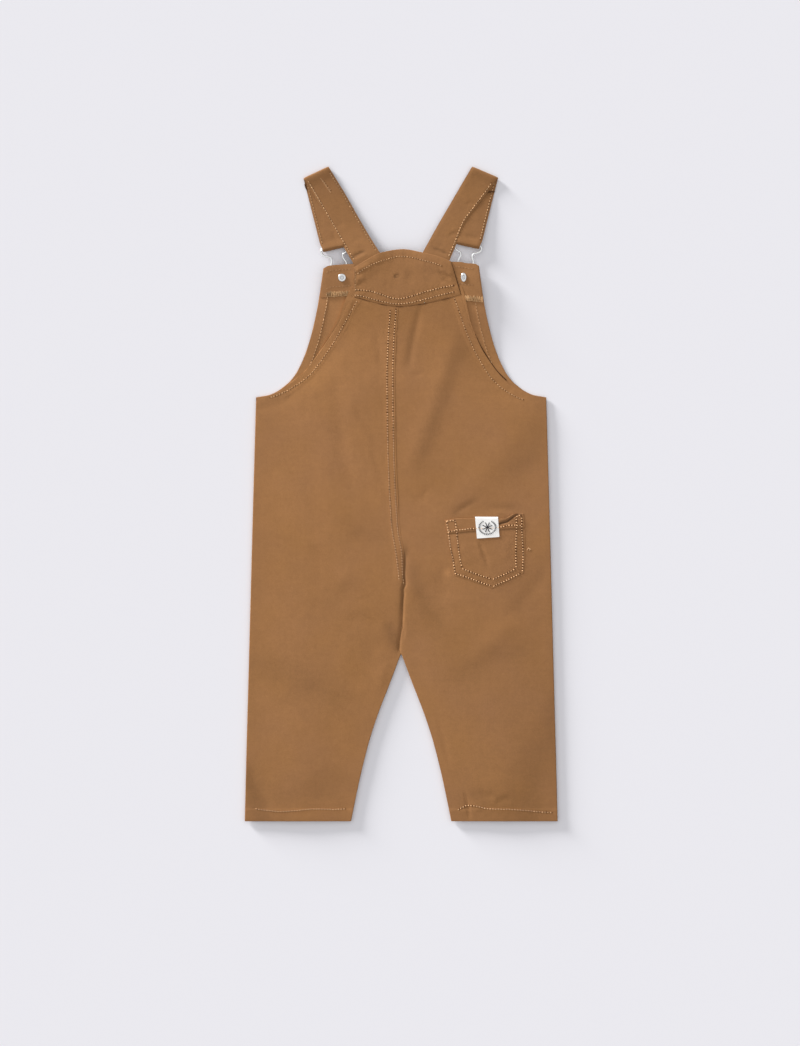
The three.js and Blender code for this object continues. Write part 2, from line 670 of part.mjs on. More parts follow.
// A strap is one ribbon. Each section has its middle surface, and the way out
// of the cloth's upper side there.
function strapSections(strap) {
  const cols = 6;
  const sections = [];
  const columns = (read) => Array.from({ length: cols + 1 }, (_, i) => read(i / cols));
  const up = new THREE.Vector3(0, 0, 1);
  const down = new THREE.Vector3(0, 0, -1);
  const foldRadius = (STRAP_WALL + GAP) / 2;
  const foldMiddle = STRAP_WALL / 2 + foldRadius;

  const upperAt = (t, u) => {
    const across = (from, to) =>
      mix(readCurve(strap.upper, 't', from, t), readCurve(strap.upper, 't', to, t), u);
    return { x: across('leftX', 'rightX'), h: across('leftH', 'rightH') };
  };

  // The sewn-in end, thinner where the yoke presses on it.
  for (const tuck of [STRAP_TUCK, STRAP_TUCK / 2, STRAP_TUCK / 12]) {
    sections.push(columns((u) => {
      const edge = upperAt(0, u);
      const next = upperAt(0.1, u);
      const run = Math.hypot(next.x - edge.x, next.h - edge.h);
      const x = edge.x - ((next.x - edge.x) / run) * tuck;
      const h = edge.h - ((next.h - edge.h) / run) * tuck;
      const rest = stackTop(x, Math.min(h, bibTop(x))) + LAP_GAP;
      return { at: place(x, h, rest + TUCKED_HALF), out: up, half: TUCKED_HALF };
    }));
  }

  // The upper run, up to where the fold starts to turn.
  const upperSteps = 15;
  const restAtFold = foldMiddle + foldRadius - STRAP_WALL / 2;
  for (let k = 1; k <= upperSteps; k += 1) {
    const t = k / upperSteps;
    sections.push(columns((u) => {
      const p = upperAt(t * (1 - FOLD_SHARE), u);
      const rest = mix(upperRunRest(strap, p.x, p.h), restAtFold, smooth((t - 0.86) / 0.14));
      const half = mix(TUCKED_HALF, STRAP_WALL / 2, smooth(k / 2));
      return { at: place(p.x, p.h, rest + half), out: up, half };
    }));
  }

  // The fold at the shoulder.
  const fold = strap.fold;
  const run = lowerRun(strap);
  const foldAlong = new THREE.Vector3(fold.rightX - fold.leftX, fold.rightH - fold.leftH, 0).normalize();
  const foldOut = new THREE.Vector3(-foldAlong.y, foldAlong.x, 0);
  const inset = foldRadius + STRAP_WALL / 2;
  for (const degrees of [30, 60, 90, 120, 150, 180]) {
    const turn = THREE.MathUtils.degToRad(degrees);
    const out = foldOut.clone().multiplyScalar(Math.sin(turn)).addScaledVector(up, Math.cos(turn));
    sections.push(columns((u) => {
      const at = place(mix(fold.leftX, fold.rightX, u), mix(fold.leftH, fold.rightH, u), foldMiddle);
      at.addScaledVector(foldOut, -inset).addScaledVector(out, foldRadius);
      return { at, out, half: STRAP_WALL / 2 };
    }));
  }

  // The lower run, down to the buckle's bar.
  const barRadius = WIRE_RADIUS + GAP + STRAP_WALL / 2;
  const barInset = barRadius + STRAP_WALL / 2;
  const narrow = (s) => 1 - FOOT_NARROWING * (1 - smooth(s / 7));
  const foot = strap.foot;
  const footAlong = new THREE.Vector3(foot.rightX - foot.leftX, foot.rightH - foot.leftH, 0).normalize();
  const footOut = new THREE.Vector3(footAlong.y, -footAlong.x, 0);
  const lowerSteps = 15;
  for (let k = 1; k <= lowerSteps; k += 1) {
    const v = k / lowerSteps;
    sections.push(columns((u) => {
      const width = mix(1, narrow((1 - v) * run.length), smooth(v * 3));
      const w = 0.5 + (u - 0.5) * width;
      const a = {
        x: mix(fold.leftX, fold.rightX, u) - foldOut.x * inset,
        h: mix(fold.leftH, fold.rightH, u) - foldOut.y * inset,
      };
      const b = {
        x: mix(foot.leftX, foot.rightX, w) - footOut.x * barInset,
        h: mix(foot.leftH, foot.rightH, w) - footOut.y * barInset,
      };
      const p = { x: mix(a.x, b.x, v), h: mix(a.h, b.h, v) };
      const s = (p.x - run.footX) * run.up.x + (p.h - run.footH) * run.up.h - barInset;
      const rest = readStraight(RUN_REST, 's', 'z', Math.max(0, s));
      return { at: place(p.x, p.h, rest + STRAP_WALL / 2), out: down, half: STRAP_WALL / 2 };
    }));
  }

  // Round the bar, and back as a tab under the lower run.
  const barMiddle = STRAP_WALL / 2 + barRadius;
  const barLine = (u) => {
    const w = 0.5 + (u - 0.5) * narrow(0);
    return place(mix(foot.leftX, foot.rightX, w), mix(foot.leftH, foot.rightH, w), barMiddle)
      .addScaledVector(footOut, -barInset);
  };
  for (const degrees of [25, 50, 75, 100, 125, 150, 180]) {
    const turn = THREE.MathUtils.degToRad(degrees);
    const away = footOut.clone().multiplyScalar(Math.sin(turn)).addScaledVector(up, Math.cos(turn));
    const out = away.clone().negate();
    sections.push(columns((u) => {
      const at = barLine(u).addScaledVector(away, barRadius);
      return { at, out, half: STRAP_WALL / 2 };
    }));
  }
  for (const v of [0.34, 0.67, 1]) {
    sections.push(columns((u) => {
      const at = barLine(u).addScaledVector(up, -barRadius).addScaledVector(footOut, -TAB_LENGTH * v);
      return { at, out: up, half: STRAP_WALL / 2 };
    }));
  }
  return sections;
}

function strapRibbon(strap) {
  const sections = strapSections(strap);
  const offset = (sign) => sections.map((row) =>
    row.map((p) => p.at.clone().addScaledVector(p.out, sign * p.half)));
  return solidFromGrids(offset(1), offset(-1));
}

// ---- buckles, buttons and tacks ----

function buckle(strap) {
  const { foot, button } = strap;
  const run = lowerRun(strap);
  const barInset = WIRE_RADIUS + GAP + STRAP_WALL;
  const bar = place((foot.leftX + foot.rightX) / 2, (foot.leftH + foot.rightH) / 2, 0);
  bar.add(new THREE.Vector3(run.up.x, run.up.h, 0).multiplyScalar(barInset));
  const neck = place(button.x, button.h, 0);
  const along = neck.clone().sub(bar);
  const reach = along.length();
  along.normalize();
  const barAcross = new THREE.Vector3(foot.rightX - foot.leftX, foot.rightH - foot.leftH, 0).normalize();
  const neckAcross = new THREE.Vector3(-along.y, along.x, 0);
  const barHeight = STRAP_WALL + GAP + WIRE_RADIUS;
  const neckHeight = BUTTON_THICKNESS + GAP + WIRE_RADIUS;
  const loop = NECK_RADIUS + GAP + WIRE_RADIUS;
  const point = (s, half) => {
    const across = barAcross.clone().lerp(neckAcross, clamp01(s / 8)).normalize();
    const z = mix(barHeight, neckHeight, clamp01(s / (reach - 8)));
    return bar.clone().addScaledVector(along, s).addScaledVector(across, half).setZ(z);
  };
  const right = [0.35, 0.75, 0.98].map((f) => point(0, BAR_HALF_WIDTH * f));
  right.push(...BUCKLE_SHAPE.map((row) => point(row.s, row.half)));
  right.push(point(reach, loop), point(reach + loop * 0.72, loop * 0.7));
  const left = [0.35, 0.75, 0.98].map((f) => point(0, -BAR_HALF_WIDTH * f));
  left.push(...BUCKLE_SHAPE.map((row) => point(row.s, -row.half)));
  left.push(point(reach, -loop), point(reach + loop * 0.72, -loop * 0.7));
  const path = [point(0, 0), ...right, point(reach + loop, 0), ...left.reverse()];
  const curve = new THREE.CatmullRomCurve3(path, true, 'centripetal');
  return new THREE.TubeGeometry(curve, 58, WIRE_RADIUS, 7, true);
}

const lathe = (profile, segments) =>
  new THREE.LatheGeometry(profile.map(([r, z]) => new THREE.Vector2(r, z)), segments).rotateX(Math.PI / 2);

// The button's face is on the floor, and its neck rises to the bib.
function button() {
  const rim = BUTTON_THICKNESS;
  return lathe([
    [0, 0],
    [BUTTON_RADIUS - 2, 0],
    [BUTTON_RADIUS - 0.6, 0.35],
    [BUTTON_RADIUS, 1.1],
    [BUTTON_RADIUS - 0.5, rim - 0.2],
    [BUTTON_RADIUS - 1.4, rim],
    [NECK_RADIUS, rim],
    [NECK_RADIUS, HARDWARE_LIFT - GAP],
    [0, HARDWARE_LIFT - GAP],
  ], 24);
}

// The tack's back lies on the facing, and its nail goes down through the cloth.
function tack(radius) {
  const seat = HARDWARE_LIFT + 2 * WALL + LAP_GAP + GAP;
  return lathe([
    [0, HARDWARE_LIFT - GAP + 0.25],
    [NAIL_RADIUS, HARDWARE_LIFT - GAP + 0.5],
    [NAIL_RADIUS, seat],
    [radius, seat],
    [radius, seat + TACK_THICKNESS * 0.45],
    [radius - 0.7, seat + TACK_THICKNESS * 0.85],
    [radius - 1.6, seat + TACK_THICKNESS],
    [0, seat + TACK_THICKNESS - 0.15],
  ], 20);
}

// ---- holes for the nails ----

const wasm = await Module();
wasm.setup();

function toManifold(geometry) {
  const bare = new THREE.BufferGeometry();
  bare.setAttribute('position', geometry.getAttribute('position').clone());
  if (geometry.index) bare.setIndex(geometry.index.clone());
  const merged = mergeVertices(bare, 1e-4);
  return new wasm.Manifold(new wasm.Mesh({
    numProp: 3,
    vertProperties: new Float32Array(merged.getAttribute('position').array),
    triVerts: new Uint32Array(merged.index.array),
  }));
}

function pierce(geometry, straps) {
  let body = toManifold(geometry);
  for (const { button: at } of straps) {
    const drill = new THREE.CylinderGeometry(NAIL_HOLE_RADIUS, NAIL_HOLE_RADIUS, 20, 12);
    drill.rotateX(Math.PI / 2).translate(at.x, at.h - LENGTH / 2, HARDWARE_LIFT);
    body = body.subtract(toManifold(drill));
  }
  const mesh = body.getMesh();
  const result = new THREE.BufferGeometry();
  result.setAttribute('position', new THREE.Float32BufferAttribute(mesh.vertProperties, 3));
  result.setIndex([...mesh.triVerts]);
  return result;
}

// ---- the assembly ----

const finish = (color, roughness, metalness = 0) =>
  () => new THREE.MeshStandardMaterial({ color, roughness, metalness, side: THREE.FrontSide });
const twill = finish(0x996e49, 0.9);
const twillInside = finish(0x91683f, 0.92);
const woven = finish(0xece9e2, 0.85);
const steel = finish(0xc8cacc, 0.25, 1);

const dungarees = new THREE.Group();

function add(name, geometry, material, at = [0, 0, 0]) {
  geometry.computeVertexNormals();
  const mesh = new THREE.Mesh(geometry, material());
  mesh.name = name;
  mesh.position.set(...at);
  dungarees.add(mesh);
}

add('front_left', pierce(frontPanel(-1), [STRAPS.left]), twill);
add('front_right', pierce(frontPanel(1), [STRAPS.right]), twill);
add('bib_facing', pierce(bibFacing(), [STRAPS.left, STRAPS.right]), twillInside);
add('back_left', backPanel(-1), twill);
add('back_right', backPanel(1), twill);
add('back_yoke', backYoke(), twill);
add('pocket', pocket(), twill);
add('label', label(), woven);
for (const [side, strap] of Object.entries(STRAPS)) {
  const at = [strap.button.x, strap.button.h - LENGTH / 2, 0];
  add(`strap_${side}`, strapRibbon(strap), twill);
  add(`buckle_${side}`, buckle(strap), steel);
  add(`button_${side}`, button(), steel, at);
  add(`tack_${side}`, tack(3.9), steel, at);
}

export default dungarees;
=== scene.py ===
import math

import bpy
import numpy as np
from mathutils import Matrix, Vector
from mathutils.bvhtree import BVHTree


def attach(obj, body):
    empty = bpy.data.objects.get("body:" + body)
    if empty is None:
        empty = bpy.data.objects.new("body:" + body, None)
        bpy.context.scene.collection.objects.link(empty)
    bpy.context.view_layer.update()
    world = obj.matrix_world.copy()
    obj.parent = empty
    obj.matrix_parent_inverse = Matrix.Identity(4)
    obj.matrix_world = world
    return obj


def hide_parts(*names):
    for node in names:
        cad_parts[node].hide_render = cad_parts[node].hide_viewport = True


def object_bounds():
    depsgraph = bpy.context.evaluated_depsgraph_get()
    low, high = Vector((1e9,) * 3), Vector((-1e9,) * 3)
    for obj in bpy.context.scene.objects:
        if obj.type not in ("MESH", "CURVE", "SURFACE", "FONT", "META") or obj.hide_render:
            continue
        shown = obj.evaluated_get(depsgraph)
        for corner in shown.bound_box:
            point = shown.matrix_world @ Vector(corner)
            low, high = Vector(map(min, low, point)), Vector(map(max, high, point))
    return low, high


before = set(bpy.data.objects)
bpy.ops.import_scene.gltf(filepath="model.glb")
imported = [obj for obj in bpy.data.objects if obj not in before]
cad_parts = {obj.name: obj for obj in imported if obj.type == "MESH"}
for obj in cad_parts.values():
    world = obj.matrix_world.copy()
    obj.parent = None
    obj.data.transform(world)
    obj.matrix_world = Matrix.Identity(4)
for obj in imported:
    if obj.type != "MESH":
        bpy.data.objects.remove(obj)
cad_low, cad_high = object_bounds()

# A toddler's dungarees, laid flat with the back side up. Lengths below are in
# millimetres: x across, h up from the leg hems, z up from the floor.
MM = 0.001
LENGTH = (cad_high[1] - cad_low[1]) / MM
BODY = "root"


# ---------------------------------------------------------------- helpers

def smooth(t):
    c = np.clip(t, 0.0, 1.0)
    return c * c * (3 - 2 * c)


def mix(a, b, t):
    return a + (b - a) * t


def bell(d, width):
    return np.exp(-((d / width) ** 2))


def table(columns, *rows):
    """A small table with named columns, kept as one array for each column."""
    names = columns.split()
    return {n: np.array([r[i] for r in rows], float) for i, n in enumerate(names)}


def read_curve(tab, at_name, to_name, at):
    """Reads a table as a smooth curve with no overshoot between its rows."""
    a, b = tab[at_name], tab[to_name]
    slope = np.diff(b) / np.diff(a)
    inner = np.where(slope[:-1] * slope[1:] <= 0, 0.0,
                     2 * slope[:-1] * slope[1:] / (slope[:-1] + slope[1:] + 1e-12))
    tangent = np.concatenate([slope[:1], inner, slope[-1:]])
    t = np.clip(at, a[0], a[-1])
    k = np.clip(np.searchsorted(a, t, side="right") - 1, 0, len(a) - 2)
    span = a[k + 1] - a[k]
    s = (t - a[k]) / span
    rise = b[k + 1] - b[k]
    m0, m1 = tangent[k] * span, tangent[k + 1] * span
    return b[k] + m0 * s + (3 * rise - 2 * m0 - m1) * s ** 2 + (m0 + m1 - 2 * rise) * s ** 3


def x_at(tab, h):
    return read_curve(tab, "h", "x", h)


def h_at(tab, x):
    return read_curve(tab, "x", "h", x)


def to_segment(x, h, x0, h0, x1, h1):
    """Distance to a segment, where along it, and signed distance to its line."""
    dx, dh = x1 - x0, h1 - h0
    length = math.hypot(dx, dh)
    t = np.clip(((x - x0) * dx + (h - h0) * dh) / length ** 2, 0, 1)
    across = ((h - h0) * dx - (x - x0) * dh) / length
    return np.hypot(x - x0 - t * dx, h - h0 - t * dh), t, across


def to_polyline(x, h, points):
    nearest = np.full(np.shape(x), 1e9)
    for (x0, h0), (x1, h1) in zip(points, points[1:]):
        nearest = np.minimum(nearest, to_segment(x, h, x0, h0, x1, h1)[0])
    return nearest


def pairs(tab, sign=1):
    return [(sign * x, h) for x, h in zip(tab["x"], tab["h"])]


def waves(x, h, seed, size, count=7):
    """A smooth uneven field between about -1 and 1, the same in every run."""
    rng = np.random.default_rng(seed)
    total = np.zeros(np.shape(x))
    for _ in range(count):
        angle, phase = rng.uniform(0, math.pi), rng.uniform(0, 2 * math.pi)
        step = 2 * math.pi / (size * rng.uniform(0.7, 1.5))
        total += np.sin((x * math.cos(angle) + h * math.sin(angle)) * step + phase)
    return total / math.sqrt(count * 1.6)


# ---------------------------------------------------------------- the cut

CROTCH = 157.8
ARM_CORNER = 400.3
WALL = 1.0
TWILL = 0.7
GAP = 0.3
STRAP_WALL = 1.6
STRAP_WIDTH = 25.0
STRAP_TUCK = 7.0
LEG_HEM = 11.5
ARM_HEM = 8.8
SEAM_BAND = 8.8
SEAM_BAND_FOOT = 222.0
PANEL_TUCK = 8.0
HARDWARE_LIFT = 4.8
WIRE_RADIUS = 0.9
BAR_HALF_WIDTH = 12.1
NECK_RADIUS = 2.4
BUTTON_RADIUS = 8.0
BUTTON_THICKNESS = 2.4
TAB_LENGTH = 19.0
FACING_HALF_WIDTH = 76.0
PANEL_TOP = 495.0              # height of a back panel's last row before it bends to the yoke
BACK_BEND = 440.0              # rows above this bend to the yoke's foot
BIB_ROW_TOP = 521.0            # height of a front panel's last row before it bends to the bib's top
BIB_BEND = 486.0               # rows above this bend to the slope of the bib's top
SEAM_CURL = 0.9                # how far the fronts rise to the backs along the sewn edges
LIFT_CORE = 10.5               # the hardware's lift is full within this distance of it
LIFT_FADE = 80.0               # and fades out over this one
BUCKLE_REACH = 541.0           # height that the hardware's lift reaches up to
FOOT_NARROWING = 0.08          # share of its width that a strap loses at the buckle's bar
FOLD_SHARE = 0.022             # share of a strap's upper run that its fold takes up
WIRE_SHARE = 0.92              # the wire as seen, of its nominal radius
TACK_RADIUS = 3.9
OVERLOCK_PITCH = 0.62
OVERLOCK_DEPTH = 5.0
MOTIF_RING = (8.2, 6.8)        # half width and half height of the label's open ring
MOTIF_RAY = 4.9                # half length of the rays in it

SIDE = table("h x", (0, 147.7), (65, 146.1), (150, 143.8), (230, 141.7), (290, 140.1), (ARM_CORNER, 137))
INSEAM = table("h x", (0, 47.3), (41, 38.8), (76, 30), (102, 21.5), (131, 10.3), (CROTCH, 0.3))
FRONT_ARM = table("h x", (ARM_CORNER, 137), (401.1, 132.2), (402.3, 125.5), (404.3, 120.2), (407, 115.4),
                  (411, 110), (415.5, 104.9), (424, 98.6), (442, 90.3), (465, 83.4), (488, 78.5), (524, 73.1),
                  (530, 72.5))
BACK_ARM_LEFT = table("h x", (ARM_CORNER, 137), (401.1, 131.6), (402.2, 125), (405.9, 115.2), (415.3, 103.1),
                      (425.3, 90.9), (438.5, 80.5), (450.8, 72), (470.6, 58.9), (483.1, 53.4), (491.4, 49.3),
                      (495.2, 45.6), (506, 44.4))
BACK_ARM_RIGHT = table("h x", (ARM_CORNER, 137), (401.1, 131.8), (402.3, 124.6), (407.3, 111.4),
                       (411.6, 103.7), (420, 94.7), (432.4, 85), (448.4, 74.6), (469.9, 64.5),
                       (478.9, 62.1), (490.7, 58.6),
                       (495.2, 56.9), (506, 53))
SEAM_LINE = table("h x", (CROTCH, -0.4), (162.7, -2.4), (170.4, -1.9), (178.9, -0.7), (185.7, 0.3),
                  (198.5, 1), (208.7, 1.3), (214.6, 2.1), (219.2, 1.4), (224, 3.7), (230.8, 2.7),
                  (236.7, 2.7), (243.5, 3.4), (251.6, 3.0), (262, 1.4), (273.1, -0.8), (314.7, -3.4),
                  (355.3, -4.9), (420, -5.6), (456.2, -4.5), (485.9, -2.3), (506, -1.6))
BIB_TOP = table("x h", (-73.4, 521.6), (-68.5, 524.2), (-45.2, 526.1), (0, 528.2), (54, 528), (62, 526.7),
                (70, 526), (73.4, 524))
FACING_FOOT = table("x h", (-80, 494), (-50, 495.5), (0, 494), (80, 490))
YOKE_FOOT = table("x h", (-44.8, 495.2), (-14, 487.3), (-2.4, 485.9), (18.8, 488.2), (57.3, 496.9))
YOKE_TOP = table("x h", (-45, 522.1), (-31, 530.6), (-19.8, 536.3), (1.5, 539.8), (20.3, 536.6),
                 (35, 533), (47.2, 528.2))
YOKE_SIDES = {"foot": (-45, 56.3), "top": (-45, 46.8)}
POCKET_MOUTH = table("u x h", (0, 41.1, 284.1), (0.18, 52.8, 285.9), (0.75, 98.3, 285.7),
                     (0.87, 105.8, 290.2), (1, 115.2, 290.7))
POCKET_FOOT = table("u x h", (0, 49.5, 232.2), (0.5625, 86.5, 219.6), (1, 115.7, 234.1))
POCKET_BOW = 1.6
LABEL = {"foot": ((71.5, 266.9), (92.7, 268.4)), "top": ((69.7, 287.4), (91.3, 287.3))}

# Soft folds: what kind, half width, height, and the points it runs through. A ridge
# stands up along its line, a trough sinks, and a step falls to the right of its run.
FOLDS = (
    ("trough", 4.0, 0.6, (20, 494), (13, 463), (8.5, 442), (5, 418)),
    ("trough", 2.0, 0.2, (9, 424), (15, 421), (22, 424)),
    ("ridge", 9.0, 0.65, (54, 474), (43, 432), (32, 396), (20, 362), (8, 332), (-1, 312)),
    ("ridge", 13.0, 0.55, (122, 402), (104, 362), (82, 332), (50, 298), (16, 270), (0, 250)),
    ("trough", 2.0, 0.65, (49, 291), (58, 296), (72, 304)),
    ("trough", 1.4, 0.5, (80, 294), (92, 295.4), (102, 295), (112, 290.5)),
    ("ridge", 2.2, 0.35, (80, 290.5), (92, 291.6), (102, 291)),
    ("trough", 4.0, 0.35, (28, 318), (20, 306), (12, 300)),
    ("trough", 9.0, 0.5, (12, 222), (30, 196), (44, 178)),
    ("trough", 7.0, 0.4, (44, 246), (38, 226), (44, 204)),
    ("trough", 13.0, 0.4, (142, 168), (104, 159), (72, 146), (36, 112)),
    ("ridge", 9.0, 0.4, (112, 202), (84, 166), (58, 142)),
    ("trough", 7.0, 0.38, (146, 250), (118, 211), (92, 180)),
    ("step", 19.0, 0.95, (98, -10), (114, 40), (131, 80), (142, 130)),
    ("trough", 1.3, 0.7, (59, 30), (62, 20), (63.5, 9), (65, -4)),
    ("trough", 2.5, 0.5, (74, 30), (80, 24), (90, 25)),
    ("trough", 2.2, 0.45, (88, 14), (96, 21), (106, 22)),
    ("ridge", 2.6, 0.4, (66, 18), (72, 13), (80, 16)),
    ("trough", 2.6, 0.15, (-88, 412), (-90, 394), (-91, 374)),
    ("trough", 7.0, 0.5, (-69, 424), (-60, 396), (-57, 366), (-55, 340), (-46, 318), (-30, 308), (-12, 302)),
    ("ridge", 7.0, 0.35, (-61, 416), (-46, 392), (-34, 368), (-14, 340)),
    ("trough", 2.6, 0.4, (-48, 398), (-36, 378), (-26, 364), (-14, 344)),
    ("trough", 2.4, 0.3, (-30, 372), (-24, 340), (-12, 306)),
    ("trough", 9.0, 0.3, (-50, 274), (-32, 266), (-10, 262)),
    ("trough", 5.0, 0.35, (-88, 262), (-66, 244), (-54, 222)),
    ("trough", 6.0, 0.45, (-52, 192), (-34, 190), (-16, 184)),
    ("trough", 9.0, 0.35, (-60, 222), (-38, 216), (-20, 206)),
    ("trough", 14.0, 0.3, (-132, 152), (-88, 130), (-54, 118)),
    ("trough", 3.0, 0.35, (-66, 120), (-50, 112), (-38, 108)),
    ("ridge", 7.0, 0.4, (-20, 168), (-16, 146), (-24, 118)),
    ("trough", 12.0, 0.45, (-122, 10), (-80, 26), (-42, 46)),
    ("trough", 6.0, 0.5, (-148, 52), (-136, 32), (-122, 6)),
    ("trough", 1.6, 0.35, (-60, 455), (-50, 474), (-42, 494)),
    ("trough", 3.0, 0.2, (-24, 470), (-21, 446), (-19, 424)),
    ("trough", 3.0, 0.25, (34, 104), (40, 76), (46, 50)),
)

# Broad soft painted shade on the cloth, where its folds and hollows lie in shade, and painted light where the
# darkness is below zero: half width, how much darker, and the points each runs through.
PAINTED_SHADES = (
    (9.0, 0.11, (138, 436), (133, 380), (128, 350), (112, 334), (92, 318)),
    (5.0, 0.08, (141, 400), (142, 300), (144, 160), (146, -20)),
    (5.0, 0.05, (60, 296), (84, 300), (116, 294)),
    (2.4, 0.15, (46, 289), (58, 296), (74, 305)),
    (5.5, 0.15, (-16, 192), (-11, 179), (-6, 167), (-2, 154)),
    (6.0, 0.09, (10, 254), (13, 228), (24, 200), (38, 184), (44, 172)),
    (2.2, 0.25, (5, 268), (3.4, 243), (1.8, 222), (0, 190)),
    (7.0, 0.06, (140, 240), (119, 212), (104, 190)),
    (11.0, 0.05, (134, 168), (82, 150), (48, 122)),
    (11.0, 0.08, (150, 140), (138, 80), (128, 40), (112, -30)),
    (14.0, 0.05, (168, 8), (100, 12), (32, 14)),
    (4.0, 0.08, (-42, 506), (-46, 482), (-58, 456)),
    (8.5, 0.1, (66, 474), (53, 438), (42, 410), (33, 383), (18, 345), (8, 320)),
    (2.5, 0.09, (19, 496), (15, 478), (10, 456), (5, 420)),
    (2.5, 0.06, (62, 486), (74, 462), (92, 436)),
    (14.0, 0.09, (-160, 158), (-96, 131), (-44, 114)),
    (10.0, 0.05, (-122, 8), (-80, 24), (-38, 46)),
    (9.0, 0.12, (-160, 60), (-141, 30), (-124, -20)),
    (10.0, 0.05, (-62, 290), (-36, 270), (-6, 262)),
    (9.0, 0.04, (-66, 224), (-40, 214), (-16, 204)),
    (4.0, 0.06, (60, 26), (86, 24), (112, 22)),
    (3.5, 0.12, (-144, 388), (-124, 397), (-102, 406)),
    (10.0, 0.04, (-140, 376), (-108, 392), (-80, 410)),
    (9.0, -0.05, (-80, 380), (-76, 300), (-70, 210)),
    (12.0, 0.03, (120, 412), (98, 372), (60, 316), (24, 300), (-4, 288)),
    (8.0, 0.08, (12, 470), (12, 444), (9, 412)),
    (20.0, -0.045, (0, 190), (-26, 140), (-52, 90), (-66, 40)),
    (16.0, 0.07, (-160, 70), (-134, 24), (-112, -30)),
    (12.0, 0.05, (6, 250), (26, 196), (56, 154)),
    (12.0, 0.035, (-150, 404), (-95, 402), (-50, 412)),
)

# Painted light and shade on the bib's facing: a painted highlight on the crumple beside the yoke's left edge,
# and painted shade on the slope up to the left button.
FACING_PAINTED_SHADES = (
    (2.2, -0.12, (-47, 524), (-46.4, 508), (-47, 494)),
    (5.0, 0.05, (-56, 570), (-56, 520), (-56, 470)),
)

# Painted light and shade on the fronts: lighter beside the left back panel's armhole edge, and a thin line of
# painted shade along the left armhole's row.
BIB_PAINTED_SHADES = (
    (5.0, -0.06, (-52, 506), (-60, 480), (-68, 456), (-76, 430)),
    (1.2, 0.12, (-67, 500), (-70.9, 479.8), (-75.3, 463.4), (-78.2, 453.7), (-82, 439.7), (-90, 428)),
)

STRAPS = {
    "left": {
        "upper": table("t lx lh rx rh", (0, -45.4, 526.6, -20.6, 537.2), (0.2, -54.7, 542.7, -30.7, 553.5),
                       (0.4, -64, 558.7, -40.1, 569.7), (0.7, -77.9, 582.8, -53.8, 593.9),
                       (1, -91.8, 606.9, -68.7, 618.2)),
        "fold": ((-92.6, 607.2), (-68.7, 618.5)),
        "foot": ((-74.6, 536.8), (-50.4, 542.5)),
        "button": (-55.8, 512.9),
    },
    "right": {
        "upper": table("t lx lh rx rh", (0, 20.3, 536.6, 46.2, 530.6), (0.2, 29.2, 553, 53.2, 547.4),
                       (0.4, 38.5, 569.4, 60.3, 565.6), (0.6, 48, 585.7, 71.2, 580.2),
                       (0.8, 57.5, 602.1, 82, 594.2), (1, 67, 618.2, 91.2, 607.6)),
        "fold": ((67.1, 618.5), (91.9, 607.9)),
        "foot": ((50.4, 545), (74.6, 539.7)),
        "button": (58.9, 513.2),
    },
}
RUN_REST = table("s z", (0, 4), (20, 2.2), (50, 0.3), (70, 0), (90, 0))
UPPER_REST = table("t z", (0, 7.1), (0.15, 5), (0.35, 3.2), (0.6, 2), (0.85, 1.5), (1, 1.9))
STRAP_CLOTH = 1.0
BUCKLE_SHAPE = ((1.2, 13.1), (4.5, 12.8), (7, 10.3), (9, 6.2), (12, 5.6), (17, 7.3), (22, 7.2), (26.5, 5.2))

# Short cross creases on the straps' upper and lower runs, and the painted shade on each strap: in its
# creases, along its fold and down one side of the left strap's upper run.
STRAP_CREASES = (
    ("trough", 1.5, 0.7, (-47.5, 531), (-40, 535.2), (-32.5, 538.4)),
    ("ridge", 2.0, 0.35, (-44.8, 529), (-38, 532), (-31, 535.5)),
    ("trough", 2.4, 0.2, (-50, 544), (-42, 549), (-35, 551)),
    ("trough", 2.0, 0.2, (-62, 560), (-57, 564), (-52, 565)),
    ("trough", 1.5, 0.6, (30, 541), (38, 537.5), (45, 534.6)),
    ("trough", 1.6, 0.35, (26, 546), (33, 543), (40, 541.4)),
    ("trough", 1.6, 0.3, (44, 553), (49, 554.5), (54, 554)),
    ("ridge", 1.4, 0.3, (46, 558), (51, 559), (56, 558)),
    ("trough", 1.4, 0.25, (60, 582), (65, 584), (72, 583)),
)
RUN_CREASES = (
    ("trough", 1.3, 0.6, (79, 595.6), (84, 593.8), (93, 593)),
    ("ridge", 1.6, 0.4, (79, 598.4), (85, 597), (92, 596)),
    ("trough", 1.6, 0.5, (-94, 597), (-90, 599.6), (-86, 602)),
    ("trough", 1.6, 0.3, (60, 553), (67, 551), (74, 549)),
    ("trough", 1.8, 0.3, (-66, 556), (-60, 547), (-56, 541)),
)
# Paths of a thin dark strip of painted shadow in the corner of each strap's fold, where the upper run lifts
# off the lower one.
FOLD_PAINTED_SHADOW = {"left": [(-91.2, 602), (-90.7, 600.4), (-90.1, 598.8), (-89.5, 597.2), (-88.9, 595.8)],
            "right": [(80.6, 593.9), (82.6, 594.2), (84.8, 594.4), (87, 594.5), (88.9, 594.4)]}
STRAP_PAINTED_SHADES = {
    "left": ((3.5, 0.09, (-68, 616), (-52, 590), (-36, 562), (-20, 536)),
             (1.6, 0.1, (-100, 604), (-80, 613), (-60, 622)),
             (1.2, 0.35, (-50, 530), (-40, 535.5), (-32, 538.8)),
             (1.5, 0.4, (-93, 606), (-90.5, 600), (-88, 593))),
    "right": ((1.0, 0.25, (26, 543.5), (37, 538.5), (48, 533)),
              (2.0, 0.2, (78, 594.6), (85, 595.2), (95, 595.8)),
              (1.5, 0.08, (44, 553), (50, 555), (56, 554))),
}


# ---------------------------------------------------------------- heights

